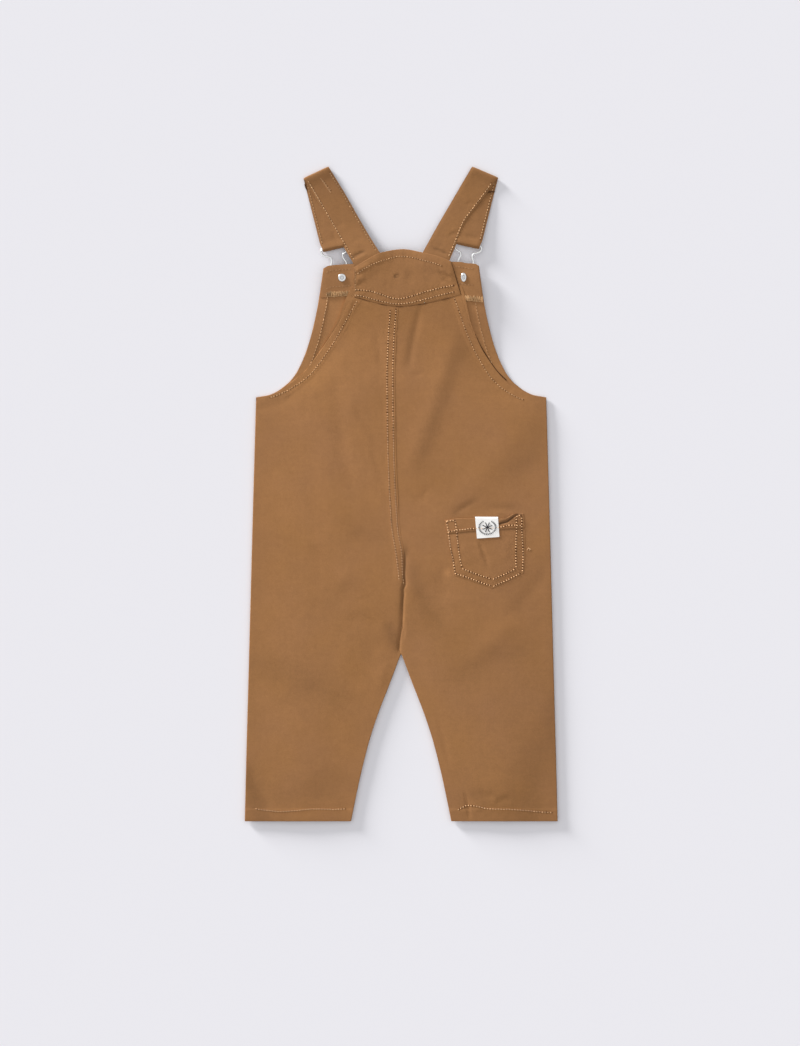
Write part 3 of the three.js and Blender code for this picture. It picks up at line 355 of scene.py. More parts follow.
def run_axes(strap):
    """Foot, direction up and direction across of a strap's lower run."""
    foot = (np.array(strap["foot"][0]) + np.array(strap["foot"][1])) / 2
    fold = (np.array(strap["fold"][0]) + np.array(strap["fold"][1])) / 2
    length = float(np.hypot(*(fold - foot)))
    up = (fold - foot) / length
    return foot, up, np.array((up[1], -up[0])), length


HARDWARE_LINE = [(float(run_axes(STRAPS["left"])[0][0]), BUCKLE_REACH), STRAPS["left"]["button"],
                 STRAPS["right"]["button"], (float(run_axes(STRAPS["right"])[0][0]), BUCKLE_REACH)]


def hardware_lift(x, h):
    """What the buttons and buckles under the bib add to its height."""
    return HARDWARE_LIFT * (1 - smooth((to_polyline(x, h, HARDWARE_LINE) - LIFT_CORE) / LIFT_FADE))


def to_sewn_edge(x, h):
    """Distance to the side seams and inseams."""
    ax = np.abs(x)
    return np.minimum(to_polyline(ax, h, pairs(SIDE)), to_polyline(ax, h, pairs(INSEAM)))


def to_back_arm(x, h):
    left = to_polyline(x, h, pairs(BACK_ARM_LEFT, -1))
    return np.where(x < 0, left, to_polyline(x, h, pairs(BACK_ARM_RIGHT)))


def bib_top(x):
    return h_at(BIB_TOP, x)


def facing_foot(x):
    return h_at(FACING_FOOT, x)


def yoke_foot(x):
    return h_at(YOKE_FOOT, x)


def yoke_top(x):
    return h_at(YOKE_TOP, x)


def back_seam(h):
    return x_at(SEAM_LINE, h)


def front_half_width(h):
    return np.where(h < ARM_CORNER, x_at(SIDE, h), x_at(FRONT_ARM, h))


def leg_hem(h):
    return 1 - smooth((h - LEG_HEM + 1) / 2)


def front_lower(x, h):
    curl = SEAM_CURL * (1 - smooth(to_sewn_edge(x, h) / 7))
    return curl * (1 - smooth((h - ARM_CORNER) / 25)) + hardware_lift(x, h)


def front_upper(x, h):
    return front_lower(x, h) + WALL + 0.4 * leg_hem(h)


def bib_rest(x, h):
    """The bib's upper surface, held level beyond its top edge."""
    return front_upper(x, np.minimum(h, bib_top(x)))


def along_line(x, h, points):
    """Distance to a line of points, the share of its length there, and which side."""
    spans = [math.dist(a, b) for a, b in zip(points, points[1:])]
    nearest, share, side = np.full(np.shape(x), 1e9), np.zeros(np.shape(x)), np.ones(np.shape(x))
    for k, (a, b) in enumerate(zip(points, points[1:])):
        distance, t, across = to_segment(x, h, *a, *b)
        closer = distance < nearest
        nearest = np.where(closer, distance, nearest)
        share = np.where(closer, (sum(spans[:k]) + t * spans[k]) / sum(spans), share)
        side = np.where(closer, np.sign(across), side)
    return nearest, share, side


def fold_height(x, h, folds):
    total = np.zeros(np.shape(x))
    for kind, width, height, *points in folds:
        distance, share, side = along_line(x, h, points)
        fade = 0.9 * smooth(share / 0.3) * smooth((1 - share) / 0.3)
        if kind == "step":
            total += height * fade * smooth(0.5 + side * distance / (2 * width)) * bell(distance, 4 * width)
        else:
            total += height * fade * bell(distance, width) * (1 if kind == "ridge" else -1)
    return total


def seam_band(x, h):
    to_seam = back_seam(h) - x
    inside = np.where(to_seam > 0, 1 - smooth((to_seam - SEAM_BAND + 2) / 5), 0)
    return inside * smooth((h - SEAM_BAND_FOOT) / 6)


def back_upper(x, h):
    """The back panels' upper surface: flat along sewn edges, close to the bib at the armholes."""
    sewn = to_sewn_edge(x, h)
    arm = np.where(h > ARM_CORNER - 45, to_back_arm(x, h), 99)
    over_bib = smooth((h - ARM_CORNER + 42) / 62)
    puffed = 2.2 + 1.1 * smooth(sewn / 55)
    body = mix(puffed, 0.55 + 1.3 * smooth(arm / 26) + 1.45 * smooth(arm / 60), over_bib)
    facing = 0.5 * smooth((h - facing_foot(x) + 34) / 32)
    at_yoke = smooth((h - yoke_foot(x) + 80) / 74)
    arm_hem = 0.2 * (1 - smooth((arm - ARM_HEM + 0.5) / 1.5)) * (h > ARM_CORNER - 9)
    below_yoke = 1 - smooth((h - yoke_foot(x) + 2.5) / 2)
    steps = (arm_hem + 0.15 * seam_band(x, h)) * below_yoke + 0.25 * leg_hem(h)
    return hardware_lift(x, h) + WALL + mix(body + facing, facing + 0.6, at_yoke) + steps


def pocket_mouth(x):
    return np.interp(x, POCKET_MOUTH["x"], POCKET_MOUTH["h"])


# ---------------------------------------------------------------- stage

FRAME_HEIGHT = 988.5           # what the picture takes in from top to bottom
FRAME_MIDDLE = (-1.1, -27.7)
CAMERA_HEIGHT = 3000.0
SENSOR = 36.0

camera_data = bpy.data.cameras.new("camera")
camera = bpy.data.objects.new("camera", camera_data)
bpy.context.collection.objects.link(camera)
camera_data.sensor_fit = "VERTICAL"
camera_data.sensor_height = SENSOR
camera_data.lens = SENSOR * CAMERA_HEIGHT / FRAME_HEIGHT
camera.location = (FRAME_MIDDLE[0] * MM, FRAME_MIDDLE[1] * MM, CAMERA_HEIGHT * MM)
bpy.context.scene.camera = camera
bpy.context.scene.view_settings.view_transform = "Standard"


def linear(r, g, b):
    """sRGB numbers out of 255 as linear colour."""
    shares = [c / 255 for c in (r, g, b)]
    return (*(c / 12.92 if c <= 0.04045 else ((c + 0.055) / 1.055) ** 2.4 for c in shares), 1.0)


def node(tree, kind, sockets=None, **settings):
    """A shader node with its settings, and with constants on the sockets that are named."""
    made = tree.nodes.new("ShaderNode" + kind)
    for name, value in settings.items():
        setattr(made, name, value)
    for name, value in (sockets or {}).items():
        made.inputs[name].default_value = value
    return made


def new_material(name, sockets):
    """A material of one shader, whose even values are set on the shader's own sockets."""
    material = bpy.data.materials.new(name)
    material.use_nodes = True
    tree = material.node_tree
    tree.nodes.clear()
    shader = node(tree, "BsdfPrincipled", sockets)
    output = node(tree, "OutputMaterial")
    tree.links.new(shader.outputs[0], output.inputs[0])
    return material, tree, shader


WORLD_STRENGTH = 0.9
HORIZON = (0.1, (0.30, 0.30, 0.31, 1))
OVERHEAD = (0.75, (0.985, 0.985, 1.0, 1))
# Each sun: strength, then its height, direction and width in degrees.
SUNS = {"low_light": (6.6, 8.8, 137.0, 15.0), "window_light": (0.05, 48.0, 128.0, 40.0)}
FLOOR_SIZE = 6.0
FLOOR_LEVEL = -0.0003


def build_stage():
    mesh = bpy.data.meshes.new("floor")
    corners = [(x * FLOOR_SIZE, y * FLOOR_SIZE, FLOOR_LEVEL) for x, y in ((-1, -1), (1, -1), (1, 1), (-1, 1))]
    mesh.from_pydata(corners, [], [(0, 1, 2, 3)])
    floor = bpy.data.objects.new("floor", mesh)
    bpy.context.collection.objects.link(floor)
    sockets = {"Base Color": linear(226, 225, 229), "Roughness": 0.95, "Specular IOR Level": 0.1}
    floor.data.materials.append(new_material("floor", sockets)[0])

    world = bpy.data.worlds.new("studio")
    world.use_nodes = True
    tree = world.node_tree
    background = tree.nodes["Background"]
    background.inputs["Strength"].default_value = WORLD_STRENGTH
    coordinates, split, ramp = (node(tree, kind) for kind in ("TexCoord", "SeparateXYZ", "ValToRGB"))
    tree.links.new(coordinates.outputs["Generated"], split.inputs[0])
    tree.links.new(split.outputs["Z"], ramp.inputs["Fac"])
    tree.links.new(ramp.outputs["Color"], background.inputs["Color"])
    for element, (position, colour) in zip(ramp.color_ramp.elements, (HORIZON, OVERHEAD)):
        element.position = position
        element.color = colour
    bpy.context.scene.world = world

    for name, (energy, elevation, azimuth, angle) in SUNS.items():
        data = bpy.data.lights.new(name, "SUN")
        data.energy = energy
        data.angle = math.radians(angle)
        light = bpy.data.objects.new(name, data)
        bpy.context.collection.objects.link(light)
        el, az = math.radians(elevation), math.radians(azimuth)
        towards = Vector((math.cos(el) * math.cos(az), math.cos(el) * math.sin(az), math.sin(el)))
        light.rotation_euler = towards.to_track_quat("Z", "Y").to_euler()


# ---------------------------------------------------------------- materials

def object_noise(tree, scale, detail):
    noise = node(tree, "TexNoise", {"Scale": scale, "Detail": detail})
    tree.links.new(node(tree, "TexCoord").outputs["Object"], noise.inputs["Vector"])
    return noise.outputs["Fac"]


def add_bump(tree, shader, height, strength, distance):
    bump = node(tree, "Bump", {"Strength": strength, "Distance": distance * MM})
    tree.links.new(height, bump.inputs["Height"])
    tree.links.new(bump.outputs["Normal"], shader.inputs["Normal"])


def fabric(name, colour, pitch=0.62, angle=62.0, contrast=1.0, sheen=0.25):
    """Twill: fine diagonal ribs, uneven yarns, soft mottling and a little sheen."""
    material, tree, shader = new_material(name, {
        "Specular IOR Level": 0.2, "Sheen Weight": sheen, "Sheen Roughness": 0.45,
        "Sheen Tint": (1.0, 0.88, 0.74, 1)})
    link = tree.links.new
    coordinates = node(tree, "TexCoord")
    turned = node(tree, "Mapping", {"Rotation": (0, 0, math.radians(angle))})
    link(coordinates.outputs["Object"], turned.inputs["Vector"])
    ribs = node(tree, "TexWave", {"Scale": 0.31416 / (pitch * MM), "Distortion": 1.6, "Detail": 1.5,
                                  "Detail Scale": 0.6},
                wave_type="BANDS", bands_direction="X", wave_profile="SIN")
    link(turned.outputs["Vector"], ribs.inputs["Vector"])

    def noise(scale, detail, squeeze=(1, 1, 1)):
        stretch = node(tree, "Mapping", {"Scale": squeeze})
        link(coordinates.outputs["Object"], stretch.inputs["Vector"])
        made = node(tree, "TexNoise", {"Scale": scale, "Detail": detail, "Roughness": 0.6})
        link(stretch.outputs["Vector"], made.inputs["Vector"])
        return made.outputs["Fac"]

    def scaled(value, low, high):
        made = node(tree, "MapRange", {"To Min": low, "To Max": high})
        link(value, made.inputs["Value"])
        return made.outputs["Result"]

    def uneven(value, share):
        return scaled(value, 1 - share * contrast, 1 + share * contrast)

    def product(first, *others):
        for other in others:
            made = node(tree, "Math", operation="MULTIPLY")
            link(first, made.inputs[0])
            link(other, made.inputs[1])
            first = made.outputs[0]
        return first

    tone = node(tree, "Attribute", attribute_name="tone")
    ribbed = scaled(ribs.outputs["Fac"], 1 - 0.06 * contrast, 1 + 0.04 * contrast)
    grain = product(ribbed, uneven(noise(900, 3), 0.16))
    yarns = product(uneven(noise(260, 2, (1, 0.12, 1)), 0.035), uneven(noise(260, 2, (0.12, 1, 1)), 0.035),
                    uneven(noise(280, 2), 0.08))
    cloud = product(uneven(noise(90, 3), 0.07), uneven(noise(11, 2), 0.05))
    shade = product(grain, yarns, cloud, tone.outputs["Fac"])

    # The dye's hue wanders a little: less red and more blue where the noise is high.
    shift = node(tree, "VectorMath", {0: (-0.004, 0, 0.009)}, operation="SCALE")
    link(scaled(noise(13, 2), -1, 1), shift.inputs["Scale"])
    dyed = node(tree, "VectorMath", {0: colour[:3]}, operation="ADD")
    link(shift.outputs["Vector"], dyed.inputs[1])
    tint = node(tree, "VectorMath", operation="SCALE")
    link(dyed.outputs["Vector"], tint.inputs[0])
    link(shade, tint.inputs["Scale"])
    link(tint.outputs["Vector"], shader.inputs["Base Color"])
    height = product(scaled(ribs.outputs["Fac"], 0.4, 1), scaled(noise(1500, 2), 0.6, 1))
    add_bump(tree, shader, height, 0.6, 0.09)
    link(scaled(noise(300, 2), 0.8, 0.95), shader.inputs["Roughness"])
    return material


def yarn(name, colour, roughness=0.7):
    """Sewing thread of a slightly uneven colour, with a fine grain."""
    material, tree, shader = new_material(name, {"Roughness": roughness, "Specular IOR Level": 0.15})
    noise = object_noise(tree, 1400, 2)
    ramp = node(tree, "ValToRGB")
    for element, share in zip(ramp.color_ramp.elements, (0.72, 1.2)):
        element.color = (*(min(1, c * share) for c in colour[:3]), 1)
    tree.links.new(noise, ramp.inputs["Fac"])
    tint = node(tree, "VectorMath", operation="SCALE")
    tone = node(tree, "Attribute", attribute_name="tone")
    tree.links.new(ramp.outputs["Color"], tint.inputs[0])
    tree.links.new(tone.outputs["Fac"], tint.inputs["Scale"])
    tree.links.new(tint.outputs["Vector"], shader.inputs["Base Color"])
    add_bump(tree, shader, noise, 0.4, 0.05)
    return material


def metal(name, colour, roughness):
    """Plated metal, unevenly polished."""
    material, tree, shader = new_material(name, {"Base Color": colour, "Metallic": 1.0})
    noise = object_noise(tree, 420, 3)
    spread = node(tree, "MapRange", {"To Min": roughness * 0.7, "To Max": roughness * 1.4})
    tree.links.new(noise, spread.inputs["Value"])
    tree.links.new(spread.outputs["Result"], shader.inputs["Roughness"])
    add_bump(tree, shader, noise, 0.15, 0.03)
    return material


CLOTH = linear(149.5, 105.2, 64.5)
MATERIALS = {
    "twill": fabric("twill", CLOTH),
    "twill_inside": fabric("twill_inside", linear(149.5, 106, 66.5), angle=-62.0, sheen=0.2),
    "strap_left": fabric("strap_left_twill", CLOTH, angle=32.0),
    "strap_right": fabric("strap_right_twill", CLOTH, angle=92.0),
    "label": fabric("label_satin", linear(236, 234, 230), pitch=0.35, angle=0.0, contrast=0.35, sheen=0.1),
    "motif": yarn("motif_yarn", linear(40, 40, 46)),
    "thread": yarn("topstitch_thread", linear(208, 167, 124)),
    "pale_thread": yarn("overlock_thread", linear(192, 152, 108)),
    "hole": yarn("needle_hole", linear(92, 57, 31), 0.95),
    "wire": metal("plated_wire", (0.9, 0.91, 0.9, 1), 0.3),
    "button": metal("nickel_button", (0.78, 0.78, 0.77, 1), 0.24),
    "worn": metal("worn_nickel", (0.42, 0.42, 0.42, 1), 0.4),
    # Painted shadow: a dark colour for thin strips laid where edges and folds cast shade.
    "shadow": yarn("painted_shadow_material", linear(76, 49, 28), 0.95),
}


# ---------------------------------------------------------------- meshes

def make_piece(name, vertices, faces, material, node_names=(), sharp=50.0, tone=None):
    """A mesh from points in millimetres (x, h, z), attached to the body, which hides the CAD parts it stands
    for.
    """
    points = np.array(vertices, float)
    points = np.column_stack([points[:, 0], points[:, 1] - LENGTH / 2, points[:, 2]]) * MM
    mesh = bpy.data.meshes.new(name)
    mesh.from_pydata(points.tolist(), [], faces if isinstance(faces, list) else faces.tolist())
    mesh.update()
    mesh.shade_smooth()
    mesh.set_sharp_from_angle(angle=math.radians(sharp))
    values = np.ones(len(points)) if tone is None else np.array(tone, float)
    mesh.attributes.new("tone", "FLOAT", "POINT").data.foreach_set("value", values)
    piece = bpy.data.objects.new(name, mesh)
    bpy.context.collection.objects.link(piece)
    piece.data.materials.append(MATERIALS[material])
    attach(piece, BODY)
    if node_names:
        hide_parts(*node_names)
    return piece


def grid_faces(rows, cols):
    """Quads of a closed body between two grids that share their layout."""
    j, i = np.meshgrid(np.arange(rows - 1), np.arange(cols - 1), indexing="ij")
    a = (j * cols + i).ravel()
    outer = np.column_stack([a, a + 1, a + cols + 1, a + cols])
    layer = rows * cols
    inner = outer[:, ::-1] + layer
    rim = list(range(cols - 1))
    rim += [k * cols + cols - 1 for k in range(rows - 1)]
    rim += [(rows - 1) * cols + k for k in range(cols - 1, 0, -1)]
    rim += [k * cols for k in range(rows - 1, 0, -1)]
    rim = np.array(rim)
    ahead = np.roll(rim, -1)
    side = np.column_stack([rim + layer, ahead + layer, ahead, rim])
    return np.vstack([outer, inner, side])


def shell(name, x, h, upper, thickness, material, node_names, tone=None):
    """A thin closed shell of cloth under an upper surface."""
    rows, cols = x.shape
    top = np.column_stack([x.ravel(), h.ravel(), upper.ravel()])
    low = top.copy()
    low[:, 2] -= np.broadcast_to(thickness, x.shape).ravel()
    tones = None if tone is None else np.concatenate([tone.ravel(), tone.ravel()])
    points = np.vstack([top, low])
    return make_piece(name, points, grid_faces(rows, cols), material, node_names, tone=tones)


def roll_off(distance, radius, drop):
    """How far a folded edge curves down near its rim."""
    s = np.clip(1 - distance / radius, 0, 1)
    return drop * (1 - np.sqrt(1 - s * s * 0.98))


def spaced(start, end, step):
    return np.linspace(start, end, max(2, int(round(abs(end - start) / step)) + 1))


def panel_rows(top, step):
    """Heights of a panel's rows, closer at the leg hem and round the armhole's corner."""
    marks = (0, 2, 14, ARM_CORNER - 2, ARM_CORNER, 403.5, 428, top)
    steps = (0.4, 0.9, step, 0.5, 0.2, 0.65, min(step, 1.7))
    parts = [spaced(start, end, each) for start, end, each in zip(marks, marks[1:], steps)]
    return np.unique(np.round(np.concatenate(parts + [[CROTCH]]), 4))


NEAR_EDGE = np.array([0, 0.2, 0.5, 0.9, 1.4, 2, 2.8, 3.7, 4.6, 5.6, 6.6, 7.5, 8.1, 8.6, 9.1, 9.7, 10.6, 12])
NEAR_SEAM = np.array([0, 0.15, 0.4, 0.8, 1.4, 2.1, 2.9, 4, 5, 6, 7, 7.7, 8.2, 8.7, 9.2, 10, 11.2, 13])


def panel_grid(heights, left, right, spread, near_left, near_right):
    """Rows of points between two edges, close together along both."""
    rows = []
    for lx, rx in zip(left, right):
        fit = min(1.0, 0.42 * (rx - lx) / near_left[-1])
        a = lx + near_left * fit
        b = rx - near_right[::-1] * fit
        middle = np.linspace(a[-1], b[0], spread + 1)[1:-1]
        rows.append(np.concatenate([a, middle, b]))
    x = np.array(rows)
    return x, np.repeat(heights[:, None], x.shape[1], axis=1)


# ---------------------------------------------------------------- sewing

def along_path(points, step, start=0.0, end=0.0):
    """Places and directions at even steps along a smooth path of points."""
    pts = np.array(points, float)
    lengths = np.concatenate([[0], np.cumsum(np.hypot(*np.diff(pts, axis=0).T))])
    dense = np.linspace(0, lengths[-1], max(40, int(lengths[-1] * 2)))
    if len(pts) > 2:
        x = read_curve({"s": lengths, "v": pts[:, 0]}, "s", "v", dense)
        h = read_curve({"s": lengths, "v": pts[:, 1]}, "s", "v", dense)
    else:
        x, h = np.interp(dense, lengths, pts[:, 0]), np.interp(dense, lengths, pts[:, 1])
    run = np.concatenate([[0], np.cumsum(np.hypot(np.diff(x), np.diff(h)))])
    at = np.arange(start, run[-1] - end, step)
    px, ph = np.interp(at, run, x), np.interp(at, run, h)
    qx, qh = np.interp(at + 0.5, run, x), np.interp(at + 0.5, run, h)
    ux, uh = qx - px, qh - ph
    size = np.maximum(np.hypot(ux, uh), 1e-6)
    return px, ph, ux / size, uh / size


def drop_on(*pieces):
    """The height of the highest of some pieces above any places."""
    trees = []
    for piece in pieces:
        points = [v.co[:] for v in piece.data.vertices]
        trees.append(BVHTree.FromPolygons(points, [p.vertices[:] for p in piece.data.polygons]))

    def surface(x, h):
        x, h = np.broadcast_arrays(np.asarray(x, float), np.asarray(h, float))
        heights = np.full(x.shape, -1e9)
        for at in np.ndindex(x.shape):
            start = Vector((x[at] * MM, (h[at] - LENGTH / 2) * MM, 0.05))
            for tree in trees:
                hit = tree.ray_cast(start, Vector((0, 0, -1)))[0]
                if hit is not None:
                    heights[at] = max(heights[at], hit.z / MM)
        missed = heights < -1e8
        if missed.all():
            above = Vector((x.flat[0] * MM, (h.flat[0] - LENGTH / 2) * MM, 0.05))
            heights[missed] = trees[0].find_nearest(above)[0].z / MM
        else:
            heights[missed] = heights[~missed].mean()
        return heights
    return surface


class Sewing:
    """Collects the stitches of one panel into one mesh of thread and one of holes."""

    def __init__(self, seed):
        self.rng = np.random.default_rng(seed)
        self.vertices, self.faces, self.tones = [], [], []
        self.holes, self.hole_faces = [], []

    def tube(self, path, radius, sides=5, tone=1.0):
        """A thin closed tube along a short path of (x, h, z)."""
        path = np.array(path, float)
        count, first = len(path), len(self.vertices)
        tangent = np.gradient(path, axis=0)
        tangent /= np.maximum(np.linalg.norm(tangent, axis=1, keepdims=True), 1e-9)
        up = np.array([0.0, 0.0, 1.0])
        across = np.cross(tangent, up)
        across /= np.maximum(np.linalg.norm(across, axis=1, keepdims=True), 1e-9)
        over = np.cross(across, tangent)
        radii = np.broadcast_to(radius, (count,))
        for k in range(count):
            for s in range(sides):
                turn = 2 * math.pi * s / sides
                away = across[k] * math.cos(turn) + over[k] * math.sin(turn)
                self.vertices.append(path[k] + radii[k] * away)
                self.tones.append(tone)
        for k in range(count - 1):
            for s in range(sides):
                a, b = first + k * sides + s, first + k * sides + (s + 1) % sides
                self.faces.append((a, b, b + sides, a + sides))
        self.faces.append(tuple(first + s for s in range(sides))[::-1])
        self.faces.append(tuple(first + (count - 1) * sides + s for s in range(sides)))

    def lay(self, x, h, surface, lift, radius, sides=5, tone=1.0):
        """A tube along x and h that lies on a surface, lifted off it."""
        self.tube(np.column_stack([x, h, surface(x, h) + lift]), radius, sides, tone)

    def hole(self, x, h, z, radius=0.5):
        first = len(self.holes)
        for s in range(6):
            turn = math.pi * s / 3
            self.holes.append((x + radius * math.cos(turn), h + radius * math.sin(turn), z))
        self.holes.append((x, h, z + 0.06))
        self.holes.append((x, h, z - 0.3))
        for s in range(6):
            self.hole_faces.append((first + s, first + (s + 1) % 6, first + 6))
            self.hole_faces.append((first + (s + 1) % 6, first + s, first + 7))

    def row(self, points, surface, pitch=3.0, start=0.8, end=0.8, thread=0.3, hole=0.5, tone=1.0, share=0.6,
            facing=1):
        """A row of lockstitches along points, on a surface that faces up, or down with facing=-1."""
        px, ph, ux, uh = along_path(points, pitch, start, end + pitch)
        span = pitch * share
        shift = self.rng.normal(0, 0.06, (len(px), 2))
        steps = np.array([0.0, 0.2, 0.5, 0.8, 1.0])
        rise = np.array([-0.12, 0.14, 0.22, 0.14, -0.12])
        x = px[:, None] + ux[:, None] * span * steps + shift[:, :1]
        h = ph[:, None] + uh[:, None] * span * steps + shift[:, 1:]
        z = surface(x, h) + facing * rise
        tones = tone * (1 + 0.2 * self.rng.normal(0, 1, len(px)))
        for k in range(len(px)):
            path = np.column_stack([x[k], h[k], z[k]])
            self.tube(path, thread, tone=float(np.clip(tones[k], 0.6, 1.6)))
        if hole:
            gap = span + (pitch - span) / 2
            gx, gh = px + ux * gap, ph + uh * gap
            gz = surface(gx, gh) + 0.1
            sizes = hole * np.clip(1 + 0.2 * self.rng.normal(0, 1, len(px)), 0.5, 1.5)
            for k in range(len(gx)):
                self.hole(gx[k], gh[k], gz[k], sizes[k])

    def finish(self, name, material="thread"):
        faces = [tuple(map(int, f)) for f in self.faces]
        make_piece(name + "_thread", self.vertices, faces, material, tone=self.tones)
        if self.holes:
            make_piece(name + "_needle_holes", self.holes, [tuple(f) for f in self.hole_faces], "hole")


def pucker(x, h, path, seed, reach=5.0, size=7.0, depth=0.12):
    """Small ripples in the cloth beside a row of stitches, and its shallow groove."""
    near = to_polyline(x, h, path)
    return depth * waves(x, h, seed, size, 5) * bell(near, reach) - 0.06 * bell(near, 1.4)


def offset_path(points, distance):
    """The same path moved sideways, to the left of its run."""
    px, ph, ux, uh = along_path(points, 4.0)
    return [(x - b * distance, h + a * distance) for x, h, a, b in zip(px, ph, ux, uh)]


def thinned(path, every=3):
    kept = path[::every]
    return kept if kept[-1] == path[-1] else kept + [path[-1]]


# ---------------------------------------------------------------- the rows of stitches

def front_arm_path(side, inset):
    heights = np.array([399, 401.5, 405, 411, 418, 426, 436, 448, 460, 474, 488, 502, 514])
    points = [(side * float(x_at(FRONT_ARM, h)), h) for h in heights]
    return offset_path(points, inset * side)


def seam_row(gap, foot, end_gap, head=486.0):
    heights = np.linspace(foot, head, 22)
    gaps = gap + (end_gap - gap) * (1 - smooth((heights - foot) / 26))
    return [(float(back_seam(h)) - float(g), h) for h, g in zip(heights, gaps)]


# Rows of topstitching at the leg hems, on the left and on the right.
HEM_ROWS = {
    -1: [(-138, 11.8), (-130, 10.6), (-113, 9.2), (-98, 10.2), (-83, 11.6), (-66, 11.2), (-50, 11.8)],
    1: [(53, 10.6), (58, 13.2), (63, 15), (70, 14.4), (83, 11.8), (101, 11.4), (120, 10), (132, 8.8),
        (146, 8)],
}

YOKE_ROWS = {
    "lower": [(-43.8, 496.4), (-35.4, 495.1), (-26.3, 492.6), (-15.6, 489.9), (-3.8, 488.1), (8, 489.2),
              (17.6, 491.4), (28.3, 494.1), (40.1, 497.3), (50.5, 499.6)],
    "upper": [(-43.6, 501.6), (-30.6, 500.5), (-21, 497.8), (-12.4, 494.8), (-2.8, 492.9), (8, 495),
              (19.7, 498.8), (30.4, 501.6), (41.2, 504.2), (51.5, 505.9)],
    "top": [(-41.3, 516.6), (-31.7, 523), (-21, 527.8), (-12.4, 530.5), (-1.7, 533), (9, 532.1),
            (19.7, 529.4), (30.4, 526.7), (39, 523.5)],
    "side": [(-43.3, 520), (-43.4, 510), (-43.4, 497)],
}

POCKET_ROWS = {
    "outer": [[(42.9, 283.2), (45, 269.6), (46.2, 260), (48.5, 249), (50.9, 234.4)],
              [(50.9, 234.0), (64.7, 229.3), (76.1, 225.1), (86.6, 221.9)],
              [(87.1, 221.9), (95, 225.5), (107.6, 231.6), (114.2, 235)],
              [(114.3, 236), (115, 251.4), (114.8, 260), (113.9, 273.4), (113.8, 288.6)]],
    "inner": [[(50.9, 283.4), (52.5, 271.5), (53.8, 259), (55.6, 247), (57.2, 239)],
              [(58, 238.4), (72.3, 232.9), (85.6, 228.6)],
              [(86.8, 228.6), (93.7, 231.5), (101.3, 235), (107.6, 238.4)],
              [(108.4, 240), (108.2, 253), (108.3, 265.9), (108.8, 273.4), (108.6, 287)]],
    "boxes": [[(43.4, 283.4), (50.5, 283.9)], [(108.8, 287.6), (113.4, 289.2)]],
    "hem": [[(44.6, 273.4), (56, 275.2), (69.8, 276.3), (82, 276.6), (93, 277.6), (103.2, 279.4),
             (113.6, 279)]],
}

# Where the right back panel's turned edge meets the bib, along which a thin strip of painted shadow is laid.
TURNED_EDGE = [(47.7, 526), (51.2, 514.6), (54.3, 504.3), (57, 495.5), (61, 480), (66.6, 465), (69.7, 459.5),
               (75.5, 447.9), (83.3, 435.4), (90, 425.7), (99.6, 416.2)]
# Where the seam below the topstitching sinks between the panels, and a crease beside it.
SEAM_SINK = [(-2.4, 162.7), (-1.9, 170.4), (-0.7, 178.9), (0.3, 185.7), (1, 198.5), (1.3, 208.7),
             (2.1, 214.6), (1.4, 219.2), (3.7, 224), (2.7, 230.8), (2.7, 236.7), (3.4, 243.5), (3.0, 250.6)]
SIDE_CREASE = [(0.6, 184.5), (2.3, 180.6), (2.6, 175.5)]

# Short loose ends of thread beside the pocket.
LOOSE_ENDS = ([(118.8, 255.8), (119.6, 257.4), (121, 257.6), (122.4, 256.4)],
              [(120, 258.6), (121.2, 257.2), (121.4, 255.6)])

ARM_ROWS = {
    -1: [(-41.5, 491.5), (-48.3, 479), (-54, 469.2), (-62.7, 453.7), (-69, 444), (-77.2, 432.5),
         (-85.4, 422.3), (-92.7, 416), (-101.4, 410.2), (-112, 404.4), (-117.8, 402), (-126, 399.2)],
    1: [(49.5, 494.5), (52.3, 487.5), (55.7, 477.9), (60.5, 464.3), (65.4, 452.7), (68.8, 445),
        (74.1, 435.4), (79.9, 425.7), (84.7, 418.9), (92.4, 411.2), (97.3, 407.3), (105, 402.5),
        (110.8, 399.6), (118.5, 397.2)],
}
PATHS = {
    -1: {"seam_near": seam_row(2.4, 224, 1.2), "seam_far": seam_row(7.8, 228, 5.2),
         "arm": ARM_ROWS[-1], "hem": HEM_ROWS[-1]},
    1: {"arm": ARM_ROWS[1], "hem": HEM_ROWS[1]},
}
# How each kind of row is stitched.
SEAM_LOOK = {"pitch": 2.6, "thread": 0.38, "hole": 0.7, "share": 0.26, "tone": 1.2}
ROW_LOOK = {"seam_near": SEAM_LOOK, "seam_far": SEAM_LOOK,
            "arm": {"pitch": 2.7, "thread": 0.28, "hole": 0.45, "share": 0.45, "tone": 0.92},
            "hem": {"pitch": 2.6, "thread": 0.4, "hole": 0.7, "share": 0.26, "tone": 1.22}}
POCKET_LOOK = {"pitch": 2.6, "start": 0.2, "end": -1.2, "thread": 0.42, "hole": 0.75, "share": 0.26,
               "tone": 1.3}


# Rows seen on the garment's other side: the front seam, the armholes and the hems.
UNDER_ROWS = [[(2.6, 168), (2.6, 330), (2.6, 512)], [(8.2, 196), (8.2, 330), (8.2, 512)],
              *HEM_ROWS.values(), *(front_arm_path(side, 8.0) for side in (-1, 1))]


# ---------------------------------------------------------------- panels

